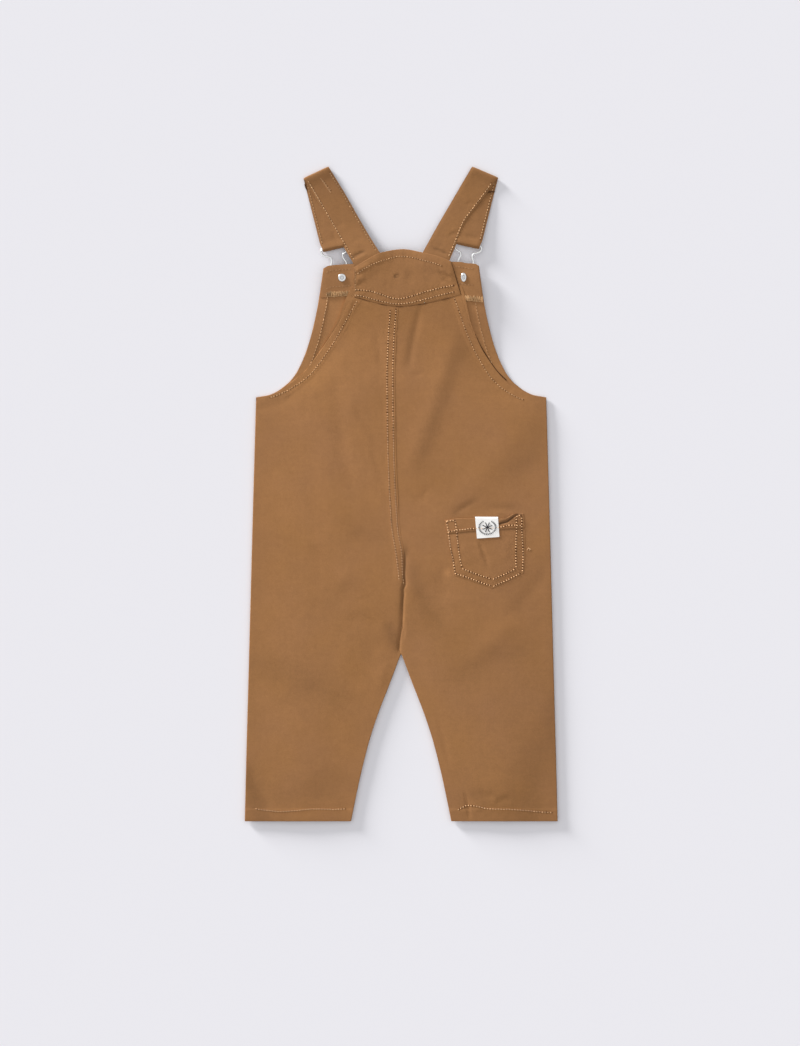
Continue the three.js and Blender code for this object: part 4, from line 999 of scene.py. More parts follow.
def back_surface(side, x, h):
    """The visible upper surface of a back panel."""
    arm = np.where(h > ARM_CORNER - 6, to_back_arm(x, h), 99)
    outline = np.minimum(np.minimum(to_sewn_edge(x, h), h + 0.2), arm)
    z = back_upper(x, h) + fold_height(x, h, FOLDS) * (0.35 + 0.65 * smooth(outline / 8))
    for k, path in enumerate(PATHS[side].values()):
        z = z + pucker(x, h, thinned(path), 20 + k + 10 * side, depth=0.06)
    z = z + 0.07 * waves(x, h, 3 + side, 42) + 0.025 * waves(x, h, 7 + side, 13)
    sink = to_polyline(x, h, SEAM_SINK)
    z = z - 1.1 * bell(sink, 1.3) - 0.35 * bell(sink, 3.5) - 0.4 * bell(to_polyline(x, h, SIDE_CREASE), 1.2)
    return z - roll_off(outline, 0.5, 0.45)


def cloth_tone(x, h, seed, painted_shades=()):
    """Uneven dye at random; painted shade darker to the right and towards the leg hems, where the light from
    the upper left falls off; a little darker at the foot of the left leg; and the painted shades it is given.
    """
    # Painted shade: the cloth darker to the right and towards the leg hems, where the light from the upper
    # left falls off.
    low = 1 - smooth((h - 50) / 280)
    tone = 1.015 - 0.02 * smooth((x + 60) / 200) - low * (0.04 + 0.05 * smooth((x - 10) / 60))
    tone = tone - 0.03 * (1 - smooth((h - 10) / 110)) * (1 - smooth((x + 120) / 90))
    tone = tone + 0.012 * waves(x, h, seed, 90, 5)
    for width, darker, *points in painted_shades:
        distance, share, _ = along_line(x, h, points)
        tone = tone * (1 - darker * bell(distance, width) * smooth(share / 0.2) * smooth((1 - share) / 0.2))
    return tone


def edge_thickness(x, h, upper, base):
    """Cloth thickness: one layer, or down to the piece below along the sewn edges."""
    down = upper - front_upper(x, h) - 0.05
    sewn = (1 - smooth((to_sewn_edge(x, h) - 2.5) / 2)) * (1 - smooth((h - ARM_CORNER + 1) / 2))
    arm = np.where(h > ARM_CORNER - 9, 1 - smooth((to_back_arm(x, h) - ARM_HEM) / 2), 0)
    return mix(base + 0.5 * np.maximum(leg_hem(h), arm), np.maximum(down, base), sewn)


def panel_edges(side, heights, arm, seam):
    """The left and the right edge of a panel at some heights."""
    inner = np.where(heights < CROTCH, side * x_at(INSEAM, heights), seam)
    outer = side * np.where(heights < ARM_CORNER, x_at(SIDE, heights), x_at(arm, heights))
    return (outer, inner) if side < 0 else (inner, outer)


def back_panel(side):
    name = "back_left" if side < 0 else "back_right"
    heights = panel_rows(PANEL_TOP, 2.6)
    arm = BACK_ARM_LEFT if side < 0 else BACK_ARM_RIGHT
    left, right = panel_edges(side, heights, arm, back_seam(heights) + 0.06 * side)
    ends = (NEAR_EDGE, NEAR_SEAM) if side < 0 else (NEAR_SEAM, NEAR_EDGE)
    x, h = panel_grid(heights, left, right, 44, *ends)
    h = h + smooth((h - BACK_BEND) / (PANEL_TOP - BACK_BEND)) * (yoke_foot(x) + PANEL_TUCK - PANEL_TOP)
    z = back_surface(side, x, h)
    thickness = edge_thickness(x, h, z, TWILL)
    # A pale spot beside the pocket's lower left corner. Painted light: lighter round h 468, where the cloth
    # slopes up towards the hardware, and along the armhole's hem band. The seam's band a little lighter, and
    # painted shade within 5 mm of the leg hems' edge.
    tone = cloth_tone(x, h, 31 + side, PAINTED_SHADES) * (1 + 0.28 * bell(np.hypot(x - 43.5, h - 235), 3.4))
    armhole_painted_light = (1 - smooth((to_back_arm(x, h) - 9) / 3)) * smooth((h - 418) / 20)
    tone = tone * (1 + 0.08 * bell(h - 468, 26)) * (1 + 0.05 * armhole_painted_light)
    tone = tone * (1 + 0.055 * seam_band(x, h) * smooth((470 - h) / 60)) * (1 - 0.06 * (1 - smooth(h / 5)))
    piece = shell(name + "_cloth", x, h, z, thickness, "twill", [name], tone)
    surface = drop_on(piece)
    sewing = Sewing(101 + side)
    for part, path in PATHS[side].items():
        sewing.row(path, surface, **ROW_LOOK[part])
    if side > 0:
        for end in LOOSE_ENDS:
            sewing.lay(*np.array(end).T, surface, 0.3, 0.26, tone=1.05)
    sewing.finish(name)
    return piece


def front_surface(x, h, hem_fall=1.2):
    """The fronts' upper face, with the armhole hem's step falling over a length."""
    z = front_upper(x, h) + 0.05 * waves(x, h, 12, 30)
    hem = np.where(h > ARM_CORNER - 3, to_polyline(np.abs(x), h, pairs(FRONT_ARM)), 99)
    z = z + 0.35 * (1 - smooth((hem - ARM_HEM + 0.4 * hem_fall) / hem_fall)) * (h > ARM_CORNER - 3)
    return z - roll_off(hem, 0.5, 0.5)


def front_under(x, h):
    """The fronts' lower face, on the floor: its own creases, and grooves along its stitches."""
    lift = 0.5 * np.abs(fold_height(-x, h, FOLDS)) + 0.12 * smooth(0.5 + waves(x, h, 49, 28))
    for path in UNDER_ROWS:
        lift = np.maximum(lift, 0.5 * bell(to_polyline(x, h, path), 1.6))
    return np.maximum(front_lower(x, h) + 0.02 + lift, front_surface(x, h) - TWILL - 0.4)


def front_panel(side):
    name = "front_left" if side < 0 else "front_right"
    heights = panel_rows(BIB_ROW_TOP, 3.4)
    left, right = panel_edges(side, heights, FRONT_ARM, 0.05 * side)
    x, h = panel_grid(heights, left, right, 32, NEAR_EDGE, NEAR_EDGE)
    h = h + smooth((h - BIB_BEND) / (BIB_ROW_TOP - BIB_BEND)) * (bib_top(x) - BIB_ROW_TOP)
    z = front_surface(x, h) - roll_off(bib_top(x) - h, 0.6, 0.4)
    thickness = np.maximum(z - front_under(x, h), 0.3)
    lit = 1 + 0.06 * smooth((h - 405) / 30) + 0.08 * bell(h - 490, 26)
    tone = cloth_tone(x, h, 41 + side, BIB_PAINTED_SHADES) * lit
    piece = shell(name + "_cloth", x, h, z, thickness, "twill_inside", [name], tone)
    return piece


def facing_surface(x, h):
    raised = mix(0.5, 1.15, smooth((h - facing_foot(x)) / 25))
    z = front_surface(x, h, 14.0) + raised + 0.04 * waves(x, h, 14, 16)
    edge = np.minimum(bib_top(x) - h, front_half_width(h) - np.abs(x))
    return z - roll_off(edge, 0.6, 0.35)


def bib_facing():
    u = np.linspace(-1, 1, 120)[None, :]
    v = np.linspace(0, 1, 26)[:, None]
    x = u * FACING_HALF_WIDTH + 0 * v
    h = mix(facing_foot(x), bib_top(x) - 0.2, v)
    x = np.clip(x, -front_half_width(h) + 0.4, front_half_width(h) - 0.4)
    h = mix(facing_foot(x), bib_top(x) - 0.2, v)
    z = facing_surface(x, h)
    tone = cloth_tone(x, h, 51, FACING_PAINTED_SHADES) * 1.03
    thickness = np.clip(z - front_surface(x, h) - 0.03, 0.05, TWILL)
    piece = shell("bib_facing_cloth", x, h, z, thickness, "twill_inside", ["bib_facing"],
                  tone)
    surface = drop_on(piece)
    sewing = Sewing(55)
    for start, end in ((-71.5, -45), (50, 72)):
        xs = np.linspace(start, end, 6)
        for inset in (5.0, 20.5):
            path = [(float(q), float(bib_top(q)) - inset) for q in xs]
            sewing.row(path, surface, thread=0.12, hole=0.2, tone=0.75)
    sewing.finish("bib_facing")

    overlock = Sewing(56)
    for start, end in ((-70.5, -44), (52, 77)):
        count = int((end - start) / OVERLOCK_PITCH)
        xs = np.linspace(start, end, count)
        odd = np.arange(count) % 2
        lean = 0.5 * overlock.rng.normal(0, 1, count)
        hs = facing_foot(xs) + np.where(odd, OVERLOCK_DEPTH, 0.2)
        hs = hs + 0.35 * overlock.rng.normal(0, 1, count)
        px = xs + lean * 0.6
        for k in range(count - 1):
            steps = np.linspace(0, 1, 5)
            x_run, h_run = mix(px[k], px[k + 1], steps), mix(hs[k], hs[k + 1], steps)
            patch = 0.72 + 0.4 * smooth(0.5 + waves(xs[k], 0.0, 57, 9, 4)) + (0.1 if start > 0 else -0.16)
            rise = 0.12 + 0.2 * np.sin(math.pi * steps)
            overlock.lay(x_run, h_run, surface, rise, 0.3, 4, float(patch))
        for k in range(0, count - 3, 3):
            run = np.linspace(xs[k], xs[k + 3], 4)
            level = facing_foot(run) + 0.3 + 0.25 * overlock.rng.normal()
            overlock.lay(run, level, surface, 0.3, 0.26, 4, 0.8)
    overlock.finish("overlock", "pale_thread")
    return piece


YOKE_CREASES = (
    ("trough", 2.2, 0.45, (-45, 514.5), (-38, 517.5), (-30, 521)),
    ("ridge", 2.4, 0.4, (-44, 518.5), (-36, 522), (-27, 526)),
    ("trough", 2.2, 0.3, (-30, 522), (-20, 525.5), (-12, 527.5)),
    ("ridge", 2.4, 0.3, (-45, 508), (-40, 511), (-33, 513)),
    ("trough", 2.0, 0.3, (-43, 503), (-39, 507), (-34, 509)),
    ("trough", 2.0, 0.45, (48, 511), (41, 515), (34, 519.5)),
    ("ridge", 2.2, 0.4, (49, 514.5), (42, 518), (36, 522)),
    ("trough", 1.8, 0.3, (49, 505), (44, 509), (38, 513)),
    ("ridge", 2.0, 0.3, (47, 501.5), (42, 505.5), (37, 508)),
    ("trough", 4.0, 0.12, (4, 516), (8, 511), (12, 507)),
    ("ridge", 6.0, 0.12, (-22, 506), (-12, 512), (-4, 514)),
)
YOKE_MARK = ((-5.6, 514.0), (-3.4, 514.5))


def yoke_surface(x, h):
    """The yoke's own surface: over the panels at its foot, over the straps' ends at its top."""
    tucked = 1 - smooth((yoke_top(x) - h - 4) / 18)
    z = bib_rest(x, h) + 1.5 + 1.1 * smooth((np.abs(x - 1) - 4) / 22) * tucked
    z = z + fold_height(x, h, YOKE_CREASES) + 0.06 * waves(x, h, 61, 24) + 0.03 * waves(x, h, 65, 9)
    for k, path in enumerate(YOKE_ROWS.values()):
        z = z + pucker(x, h, path, 63 + k, 3.6, 5.5, 0.09)
    z = z - 0.5 * bell(to_polyline(x, h, YOKE_MARK), 1.3)
    v = np.clip((h - yoke_foot(x)) / np.maximum(yoke_top(x) - yoke_foot(x), 1), 0, 1)
    right = mix(YOKE_SIDES["foot"][1], YOKE_SIDES["top"][1], v)
    from_left = x - YOKE_SIDES["foot"][0]
    edge = np.minimum(np.minimum(h - yoke_foot(x), yoke_top(x) - h), np.minimum(from_left, right - x))
    z = z - 0.35 * (1 - smooth(from_left / 5))
    return z - roll_off(edge, 0.5, 0.25) - 0.15 * (1 - smooth(edge / 3))


def back_yoke():
    near = np.array([0, 0.3, 0.7, 1.2, 1.9, 2.8]) / 50
    v = np.concatenate([near, np.linspace(near[-1], 1 - near[-1], 34)[1:-1], 1 - near[::-1]])
    near = near / 2
    u = np.concatenate([near, np.linspace(near[-1], 1 - near[-1], 84)[1:-1], 1 - near[::-1]])
    foot_x = mix(*YOKE_SIDES["foot"], u)[None, :]
    top_x = mix(*YOKE_SIDES["top"], u)[None, :]
    x = mix(foot_x, top_x, v[:, None])
    h = mix(yoke_foot(foot_x), yoke_top(top_x), v[:, None])
    z = yoke_surface(x, h)
    tone = cloth_tone(x, h, 62) * 0.97 * (1 - 0.6 * bell(to_polyline(x, h, YOKE_MARK), 1.3))
    tone = tone * (1 - 0.1 * bell(np.hypot(x - 7.3, h - 516.3), 4.5))
    # Painted shade: darker along the yoke's top and left edges, left of its middle, where the low light
    # catches them.
    lit_edge = np.minimum(yoke_top(x) - h, x - YOKE_SIDES["foot"][0])
    tone = tone * (1 - 0.12 * (1 - smooth(lit_edge / 4)) * (1 - smooth((x + 10) / 20)))
    piece = shell("back_yoke_cloth", x, h, z, 0.45, "twill", ["back_yoke"], tone)
    surface = drop_on(piece)
    sewing = Sewing(64)
    for part, pitch, thread, hole, tint in (("lower", 2.6, 0.3, 0.6, 1.0), ("upper", 2.6, 0.32, 0.72, 1.0),
                                            ("top", 2.5, 0.26, 0.45, 0.92)):
        sewing.row(YOKE_ROWS[part], surface, pitch=pitch, thread=thread, hole=hole, tone=tint,
                   start=0.2, end=-1, share=0.48)
    sewing.row(YOKE_ROWS["side"], surface, pitch=2.5, thread=0.14, hole=0.2, tone=0.8)
    for start, end in (((-43.4, 496.3), (-36.5, 495.2)), ((-43.4, 501.4), (-38, 501.1))):
        sewing.row([start, end], surface, pitch=1.5, thread=0.2, hole=0.62, start=0, end=-0.5)
    sewing.finish("back_yoke")
    return piece


# ---------------------------------------------------------------- pocket and label

POCKET_CREASES = (
    ("trough", 2.0, 0.35, (73, 268), (75, 261), (79.5, 249), (84, 236)),
    ("ridge", 2.0, 0.2, (71, 266), (72, 260), (76, 248)),
    ("ridge", 4.0, 0.15, (58, 266), (61, 252), (64, 240)),
    ("ridge", 4.0, 0.15, (103, 270), (100, 256), (98, 242)),
    ("trough", 1.0, 1.2, (88, 279.4), (93.4, 281), (99.7, 282.6), (104, 285.9), (107.6, 288.7), (116, 292.5)),
    ("ridge", 1.8, 0.5, (95, 285.6), (101, 287), (105, 290)),
    ("ridge", 2.6, 0.15, (45, 281), (52, 280), (60, 279)),
)
# Painted shadow: in the pocket's gaping mouth and its folded corner, and a thin line under the pocket's hem.
POCKET_PAINTED_SHADOW = ((1.0, 0.6, (86, 278.8), (93.4, 281), (99.7, 282.6), (104, 285.9), (107.6, 288.7), (118, 293)),
               (1.3, 0.2, (92, 280.5), (97, 284), (101, 284.6)),
               (0.9, 0.3, (30, 270.4), (56, 272.2), (69.8, 273.4), (93.1, 275), (126, 276.8)))


def pocket_edges(x, h):
    """Distances to the pocket's sewn edges and to its mouth."""
    mouth, foot = pairs(POCKET_MOUTH), pairs(POCKET_FOOT)
    sewn = [mouth[0], (45.5, 258), *foot, (117, 262), mouth[-1]]
    return to_polyline(x, h, sewn), to_polyline(x, h, mouth)


def pocket_hem_line(x):
    xs, hs = zip((41, 271), (56, 273), (69.8, 274.4), (93.1, 275.9), (115, 277.5))
    return np.interp(x, xs, hs)


def pocket_surface(x, h):
    sewn, mouth = pocket_edges(x, h)
    hem = smooth((h - pocket_hem_line(x) + 0.35) / 0.7)
    z = back_surface(1, x, h) + 0.22 + 0.38 * smooth(sewn / 9) + 0.3 * hem
    z = z + fold_height(x, h, POCKET_CREASES) + 0.35 * smooth(sewn / 16) * smooth((h - 232) / 45)
    z = z + 0.04 * waves(x, h, 71, 15)
    for k, path in enumerate(POCKET_ROWS["outer"] + POCKET_ROWS["inner"]):
        z = z + pucker(x, h, path, 74 + k, 3.2, 5.0, 0.06)
    return z - roll_off(sewn, 0.5, 0.18) - roll_off(mouth, 0.5, 0.3)


def pocket():
    near = np.array([0, 0.25, 0.6, 1.1, 1.7, 2.4])
    u = np.concatenate([near / 74, np.linspace(2.4 / 74, 1 - 2.4 / 74, 104)[1:-1], 1 - near[::-1] / 74])
    v = np.concatenate([near / 55, np.linspace(2.4 / 55, 0.72, 32)[1:-1], np.linspace(0.72, 0.84, 20),
                        np.linspace(0.84, 1 - 2.4 / 55, 20)[1:-1], 1 - near[::-1] / 55])
    foot_x, foot_h = (np.interp(u, POCKET_FOOT["u"], POCKET_FOOT[c])[None, :] for c in "xh")
    mouth_x, mouth_h = (np.interp(u, POCKET_MOUTH["u"], POCKET_MOUTH[c])[None, :] for c in "xh")
    v = v[:, None]
    bow = POCKET_BOW * (2 * u - 1) * smooth((u - 0.5) * 2)
    x = mix(foot_x, mouth_x, v) + bow[None, :] * np.sin(math.pi * v)
    h = mix(foot_h, mouth_h, v)
    z = pocket_surface(x, h)
    thickness = np.clip(z - back_surface(1, x, h) - 0.03, 0.03, TWILL)
    tone = cloth_tone(x, h, 33, PAINTED_SHADES + POCKET_PAINTED_SHADOW) * 0.985
    piece = shell("pocket_cloth", x, h, z, thickness, "twill", ["pocket"], tone)
    surface = drop_on(piece)
    sewing = Sewing(73)
    for rows in POCKET_ROWS.values():
        for path in rows:
            sewing.row(path, surface, **POCKET_LOOK)
    sewing.finish("pocket")
    return piece


def label_point(u, v):
    (fx0, fh0), (fx1, fh1) = LABEL["foot"]
    (tx0, th0), (tx1, th1) = LABEL["top"]
    return (mix(mix(fx0, fx1, u), mix(tx0, tx1, u), v), mix(mix(fh0, fh1, u), mix(th0, th1, u), v))


def label_surface(x, h):
    over = smooth((h - pocket_mouth(x) - 0.2) / 1.6)
    z = back_surface(1, x, np.minimum(h, pocket_mouth(x) - 1.2)) + 1.55 - 0.9 * over ** 2
    return z + 0.04 * waves(x, h, 81, 12)


def label():
    u = np.linspace(0, 1, 30)
    v = np.linspace(0, 1, 30) ** 0.8
    x, h = label_point(u[None, :], v[:, None])
    z = label_surface(x, h)
    piece = shell("label_cloth", x, h, z, 0.4, "label", ["label"])
    surface = drop_on(piece)
    cx, ch = label_point(0.5, 0.5)
    motif = Sewing(83)
    for k in range(26):
        turn = math.radians(122 + 296 * k / 25)
        away = np.array([0.86, 0.95, 1.04])
        px, ph = cx + MOTIF_RING[0] * away * math.cos(turn), ch + MOTIF_RING[1] * away * math.sin(turn)
        motif.lay(px, ph, surface, 0.06, 0.42)
    for k in range(4):
        turn = math.pi * (k + 0.5) / 4
        away = np.linspace(-MOTIF_RAY, MOTIF_RAY, 5)
        motif.lay(cx + away * math.cos(turn), ch + away * math.sin(turn), surface, 0.06, 0.4)
    motif.finish("label_motif", "motif")
    return piece


# ---------------------------------------------------------------- straps

def strap_sections(strap, u):
    """Middle surface, way out and half thickness of a strap, section by section."""
    fold_radius = (STRAP_WALL + GAP) / 2
    fold_middle = STRAP_WALL / 2 + fold_radius
    up3 = np.array([0.0, 0.0, 1.0])
    upper = strap["upper"]
    sections = []

    def edge_points(t):
        a, b = (np.array([read_curve(upper, "t", edge + c, t) for c in "xh"]) for edge in "lr")
        return a[:, None] * (1 - u) + b[:, None] * u

    def flat(x, h, z, out, half):
        sections.append((np.column_stack([x, h, z]), np.tile(out, (len(u), 1)), half))

    start, ahead = edge_points(0.0), edge_points(0.1)
    run = np.hypot(*(ahead - start))
    for tuck in (STRAP_TUCK, STRAP_TUCK * 0.6, STRAP_TUCK * 0.3, 0.6):
        x, h = start - (ahead - start) / run * tuck
        flat(x, h, bib_rest(x, h) + 1.6, up3, 0.35)
    steps = 56
    marks = np.arange(1, steps + 1) / steps
    places = [edge_points(t - t * FOLD_SHARE) for t in marks]
    rests = read_curve(UPPER_REST, "t", "z", marks)
    for t, (x, h), rest in zip(marks, places, rests):
        half = mix(0.35, STRAP_CLOTH / 2, float(smooth(t * 7)))
        half = mix(half, STRAP_WALL / 2, float(smooth((t - 0.9) / 0.1)))
        ripple = fold_height(x, h, STRAP_CREASES) + 0.04 * waves(x, h, 91, 14) + 0.02 * waves(x, h, 92, 6)
        z = rest + half + ripple * float(smooth((1 - t) / 0.1)) * float(smooth(t / 0.04))
        flat(x, h, z, up3, half)

    fold_a, fold_b = np.array(strap["fold"][0]), np.array(strap["fold"][1])
    along = (fold_b - fold_a) / np.hypot(*(fold_b - fold_a))
    fold_out = np.array([-along[1], along[0]])
    inset = fold_radius + STRAP_WALL / 2
    fold_line = fold_a[:, None] * (1 - u) + fold_b[:, None] * u - fold_out[:, None] * inset
    for degrees in range(15, 181, 15):
        turn = math.radians(degrees)
        out = np.array([*(fold_out * math.sin(turn)), math.cos(turn)])
        middle = np.column_stack([fold_line.T, np.full(len(u), fold_middle)]) + out * fold_radius
        sections.append((middle, np.tile(out, (len(u), 1)), STRAP_WALL / 2))

    foot_mid, run_up, _, length = run_axes(strap)
    bar_radius = WIRE_RADIUS + GAP + STRAP_WALL / 2
    bar_inset = bar_radius + STRAP_WALL / 2
    foot_a, foot_b = np.array(strap["foot"][0]), np.array(strap["foot"][1])
    along = (foot_b - foot_a) / np.hypot(*(foot_b - foot_a))
    foot_out = np.array([along[1], -along[0]])

    def narrow(s):
        return 1 - FOOT_NARROWING * (1 - float(smooth(s / 7)))

    steps = 50
    for k in range(1, steps + 1):
        v = k / steps
        w = 0.5 + (u - 0.5) * mix(1, narrow((1 - v) * length), float(smooth(v * 3)))
        goal = foot_a[:, None] * (1 - w) + foot_b[:, None] * w - foot_out[:, None] * bar_inset
        x, h = mix(fold_line, goal, v)
        s = (x - foot_mid[0]) * run_up[0] + (h - foot_mid[1]) * run_up[1] - bar_inset
        rest = np.interp(np.maximum(0, s), RUN_REST["s"], RUN_REST["z"])
        ripple = (0.06 * waves(x, h, 94, 13) + 0.06) * float(smooth(v / 0.1) * smooth((1 - v) / 0.2))
        ripple = ripple + fold_height(x, h, RUN_CREASES) * float(smooth(v / 0.06))
        half = mix(STRAP_WALL, STRAP_CLOTH, float(smooth(v / 0.1) * smooth((1 - v) / 0.1))) / 2
        flat(x, h, rest + half + ripple, -up3, half)

    w = 0.5 + (u - 0.5) * narrow(0)
    bar = foot_a[:, None] * (1 - w) + foot_b[:, None] * w - foot_out[:, None] * bar_inset
    bar = np.column_stack([bar.T, np.full(len(u), STRAP_WALL / 2 + bar_radius)])
    for degrees in range(12, 181, 12):
        turn = math.radians(degrees)
        away = np.array([*(foot_out * math.sin(turn)), math.cos(turn)])
        sections.append((bar + away * bar_radius, np.tile(-away, (len(u), 1)), STRAP_WALL / 2))
    for v in np.linspace(0.1, 1, 10):
        middle = bar - up3 * bar_radius - np.array([*foot_out, 0]) * TAB_LENGTH * v
        sections.append((middle, np.tile(up3, (len(u), 1)), STRAP_WALL / 2))
    return sections


def grid_row(sewing, lines, spacing, thread, hole, tone, lift):
    """Stitches along a line of points that already lies on a surface."""
    run = np.concatenate([[0], np.cumsum(np.linalg.norm(np.diff(lines, axis=0), axis=1))])
    for start in np.arange(1.0, run[-1] - 3, spacing):
        at = start + 0.62 * spacing * np.array([0, 0.2, 0.5, 0.8, 1.0])
        path = np.column_stack([np.interp(at, run, lines[:, c]) for c in range(3)])
        path[:, 2] = np.maximum(path[:, 2] + lift * np.array([-0.1, 0.16, 0.24, 0.16, -0.1]), thread)
        shade = tone * (1 + 0.1 * float(sewing.rng.normal()))
        sewing.tube(path, thread, tone=shade)
        x, h, z = (float(np.interp(start + 0.81 * spacing, run, lines[:, c])) for c in range(3))
        if lift > 0:
            sewing.hole(x, h, z + 0.12, hole)


def strap(side):
    data = STRAPS[side]
    near = np.array([0, 0.012, 0.03, 0.055, 0.085, 0.12])
    u = np.concatenate([near, np.linspace(0.12, 0.88, 22)[1:-1], 1 - near[::-1]])
    sections = strap_sections(data, u)
    from_edge = np.minimum(u, 1 - u) * STRAP_WIDTH
    rounded = 0.5 + 0.5 * smooth(from_edge / 2.2)
    groove = 0.07 * bell(from_edge - 2.1, 0.9)
    outer, inner = [], []
    for middle, out, half in sections:
        depth = (half * rounded - groove)[:, None]
        outer.append(middle + out * depth)
        inner.append(middle - out * depth)
    outer, inner = np.array(outer), np.array(inner)
    rows, cols = outer.shape[:2]
    points = np.vstack([outer.reshape(-1, 3), inner.reshape(-1, 3)])
    points[:, 2] = np.maximum(points[:, 2], 0)
    name = f"strap_{side}"
    painted_shades = STRAP_PAINTED_SHADES[side]
    tone = (0.83 if side == "left" else 0.86) * cloth_tone(points[:, 0], points[:, 1], 95, painted_shades)
    faces = grid_faces(rows, cols)
    piece = make_piece(name + "_cloth", points, faces, name, [name], sharp=60, tone=tone)

    surface = drop_on(piece)
    sewing = Sewing(96 if side == "left" else 97)

    def line(grid, chosen, inset):
        at = inset / STRAP_WIDTH
        return np.array([[np.interp(at, u, grid[r, :, c]) for c in range(3)] for r in chosen])

    upper, lower = range(4, 60), range(74, rows - 28)
    if side == "left":
        edge = line(outer, upper, 2.2)
        sewing.row([(a, b) for a, b in edge[::6, :2]], surface, pitch=2.8, thread=0.3, hole=0.5)
        edge = line(outer, range(44, 60), 2.0)
        sewing.row([(a, b) for a, b in edge[::5, :2]], surface, pitch=1.5, thread=0.26, hole=0, start=0)
        edge = line(outer, upper, STRAP_WIDTH - 1.9)
        sewing.row([(a, b) for a, b in edge[::6, :2]], surface, pitch=2.8, thread=0.22, hole=0.35, tone=0.85)
        sewing.row([(-76.6, 607.6), (-71, 600), (-65.6, 592.4)], surface, pitch=1.7, thread=0.26, hole=0)
        sewing.row([(-74.6, 606), (-69, 599), (-64.2, 593)], surface, pitch=2.6, thread=0.14, hole=0.45)
        lower_edge = line(inner, lower, 2.2)
        grid_row(sewing, lower_edge, 2.8, 0.2, 0.3, 0.8, 1)
    else:
        edge = line(outer, upper, STRAP_WIDTH - 2.2)
        sewing.row([(a, b) for a, b in edge[::6, :2]], surface, pitch=2.8, thread=0.32, hole=0.55)
        lower_edge = line(inner, lower, STRAP_WIDTH - 2.2)
        grid_row(sewing, lower_edge, 2.8, 0.28, 0.55, 0.95, 1)
    # Painted shadow: a thin dark strip laid in the corner of the strap's fold.
    fold_painted_shadow = Sewing(98)
    gx, gh = np.array(FOLD_PAINTED_SHADOW[side]).T
    fold_painted_shadow.lay(gx, gh, surface, 0.05, np.array([0.2, 0.5, 0.6, 0.5, 0.2]), 6)
    fold_painted_shadow.finish(name + "_fold_painted_shadow", "shadow")
    for inset in (2.2, STRAP_WIDTH - 2.2):
        grid_row(sewing, line(outer, lower, inset), 2.8, 0.26, 0, 0.9, -1)
    sewing.finish(name)


# ---------------------------------------------------------------- hardware

def tube_mesh(path, radius, sides):
    """Points and quads of a round wire along a closed path of (x, h, z)."""
    path = np.array(path, float)
    ahead, behind = np.roll(path, -1, axis=0), np.roll(path, 1, axis=0)
    tangent = ahead - behind
    tangent /= np.linalg.norm(tangent, axis=1, keepdims=True)
    across = np.cross(tangent, (0, 0, 1.0))
    across /= np.linalg.norm(across, axis=1, keepdims=True)
    over = np.cross(across, tangent)
    turns = np.linspace(0, 2 * math.pi, sides, endpoint=False)
    ring = across[:, None] * np.cos(turns)[None, :, None] + over[:, None] * np.sin(turns)[None, :, None]
    points = (path[:, None] + radius * ring).reshape(-1, 3)
    count = len(path)
    faces = []
    for k in range(count):
        for s in range(sides):
            a, b = k * sides + s, k * sides + (s + 1) % sides
            c, d = (k + 1) % count * sides + s, (k + 1) % count * sides + (s + 1) % sides
            faces.append((a, b, d, c))
    return points, faces


def closed_curve(points, spacing):
    """A smooth closed curve through points, by centripetal Catmull-Rom spans."""
    pts = [Vector(p) for p in points]
    out = []
    n = len(pts)
    for i in range(n):
        p0, p1, p2, p3 = pts[i - 1], pts[i], pts[(i + 1) % n], pts[(i + 2) % n]
        t1 = (p1 - p0).length ** 0.5
        t2 = t1 + (p2 - p1).length ** 0.5
        t3 = t2 + (p3 - p2).length ** 0.5
        steps = max(2, int(round((p2 - p1).length / spacing)))
        for k in range(steps):
            t = t1 + (t2 - t1) * k / steps
            a1 = p0.lerp(p1, t / t1)
            a2 = p1.lerp(p2, (t - t1) / (t2 - t1))
            a3 = p2.lerp(p3, (t - t2) / (t3 - t2))
            b1 = a1.lerp(a2, t / t2)
            b2 = a2.lerp(a3, (t - t1) / (t3 - t1))
            out.append(tuple(b1.lerp(b2, (t - t1) / (t2 - t1))))
    return out


def buckle(side):
    data = STRAPS[side]
    foot, up, _, _ = run_axes(data)
    bar = Vector((*(foot + up * (WIRE_RADIUS + GAP + STRAP_WALL)), 0))
    neck = Vector((*data["button"], 0))
    along = neck - bar
    reach = along.length
    along.normalize()
    foot_a, foot_b = Vector((*data["foot"][0], 0)), Vector((*data["foot"][1], 0))
    bar_across = (foot_b - foot_a).normalized()
    neck_across = Vector((-along.y, along.x, 0))
    bar_height = STRAP_WALL + GAP + WIRE_RADIUS
    neck_height = BUTTON_THICKNESS + GAP + WIRE_RADIUS
    loop = NECK_RADIUS + GAP + WIRE_RADIUS

    def point(s, half):
        across = bar_across.lerp(neck_across, min(1, max(0, s / 8))).normalized()
        p = bar + along * s + across * half
        p.z = mix(bar_height, neck_height, min(1, max(0, s / (reach - 8))))
        return p

    halves = [(0, BAR_HALF_WIDTH * share) for share in (0.35, 0.75, 0.98)]
    halves += [*BUCKLE_SHAPE, (reach, loop), (reach + loop * 0.72, loop * 0.7)]
    right, left = ([point(s, sign * half) for s, half in halves] for sign in (1, -1))
    path = closed_curve([point(0, 0), *right, point(reach + loop, 0), *left[::-1]], 0.6)
    points, faces = tube_mesh(path, WIRE_SHARE * WIRE_RADIUS, 14)
    make_piece(f"buckle_{side}_wire", points, faces, "wire", [f"buckle_{side}"], sharp=80)


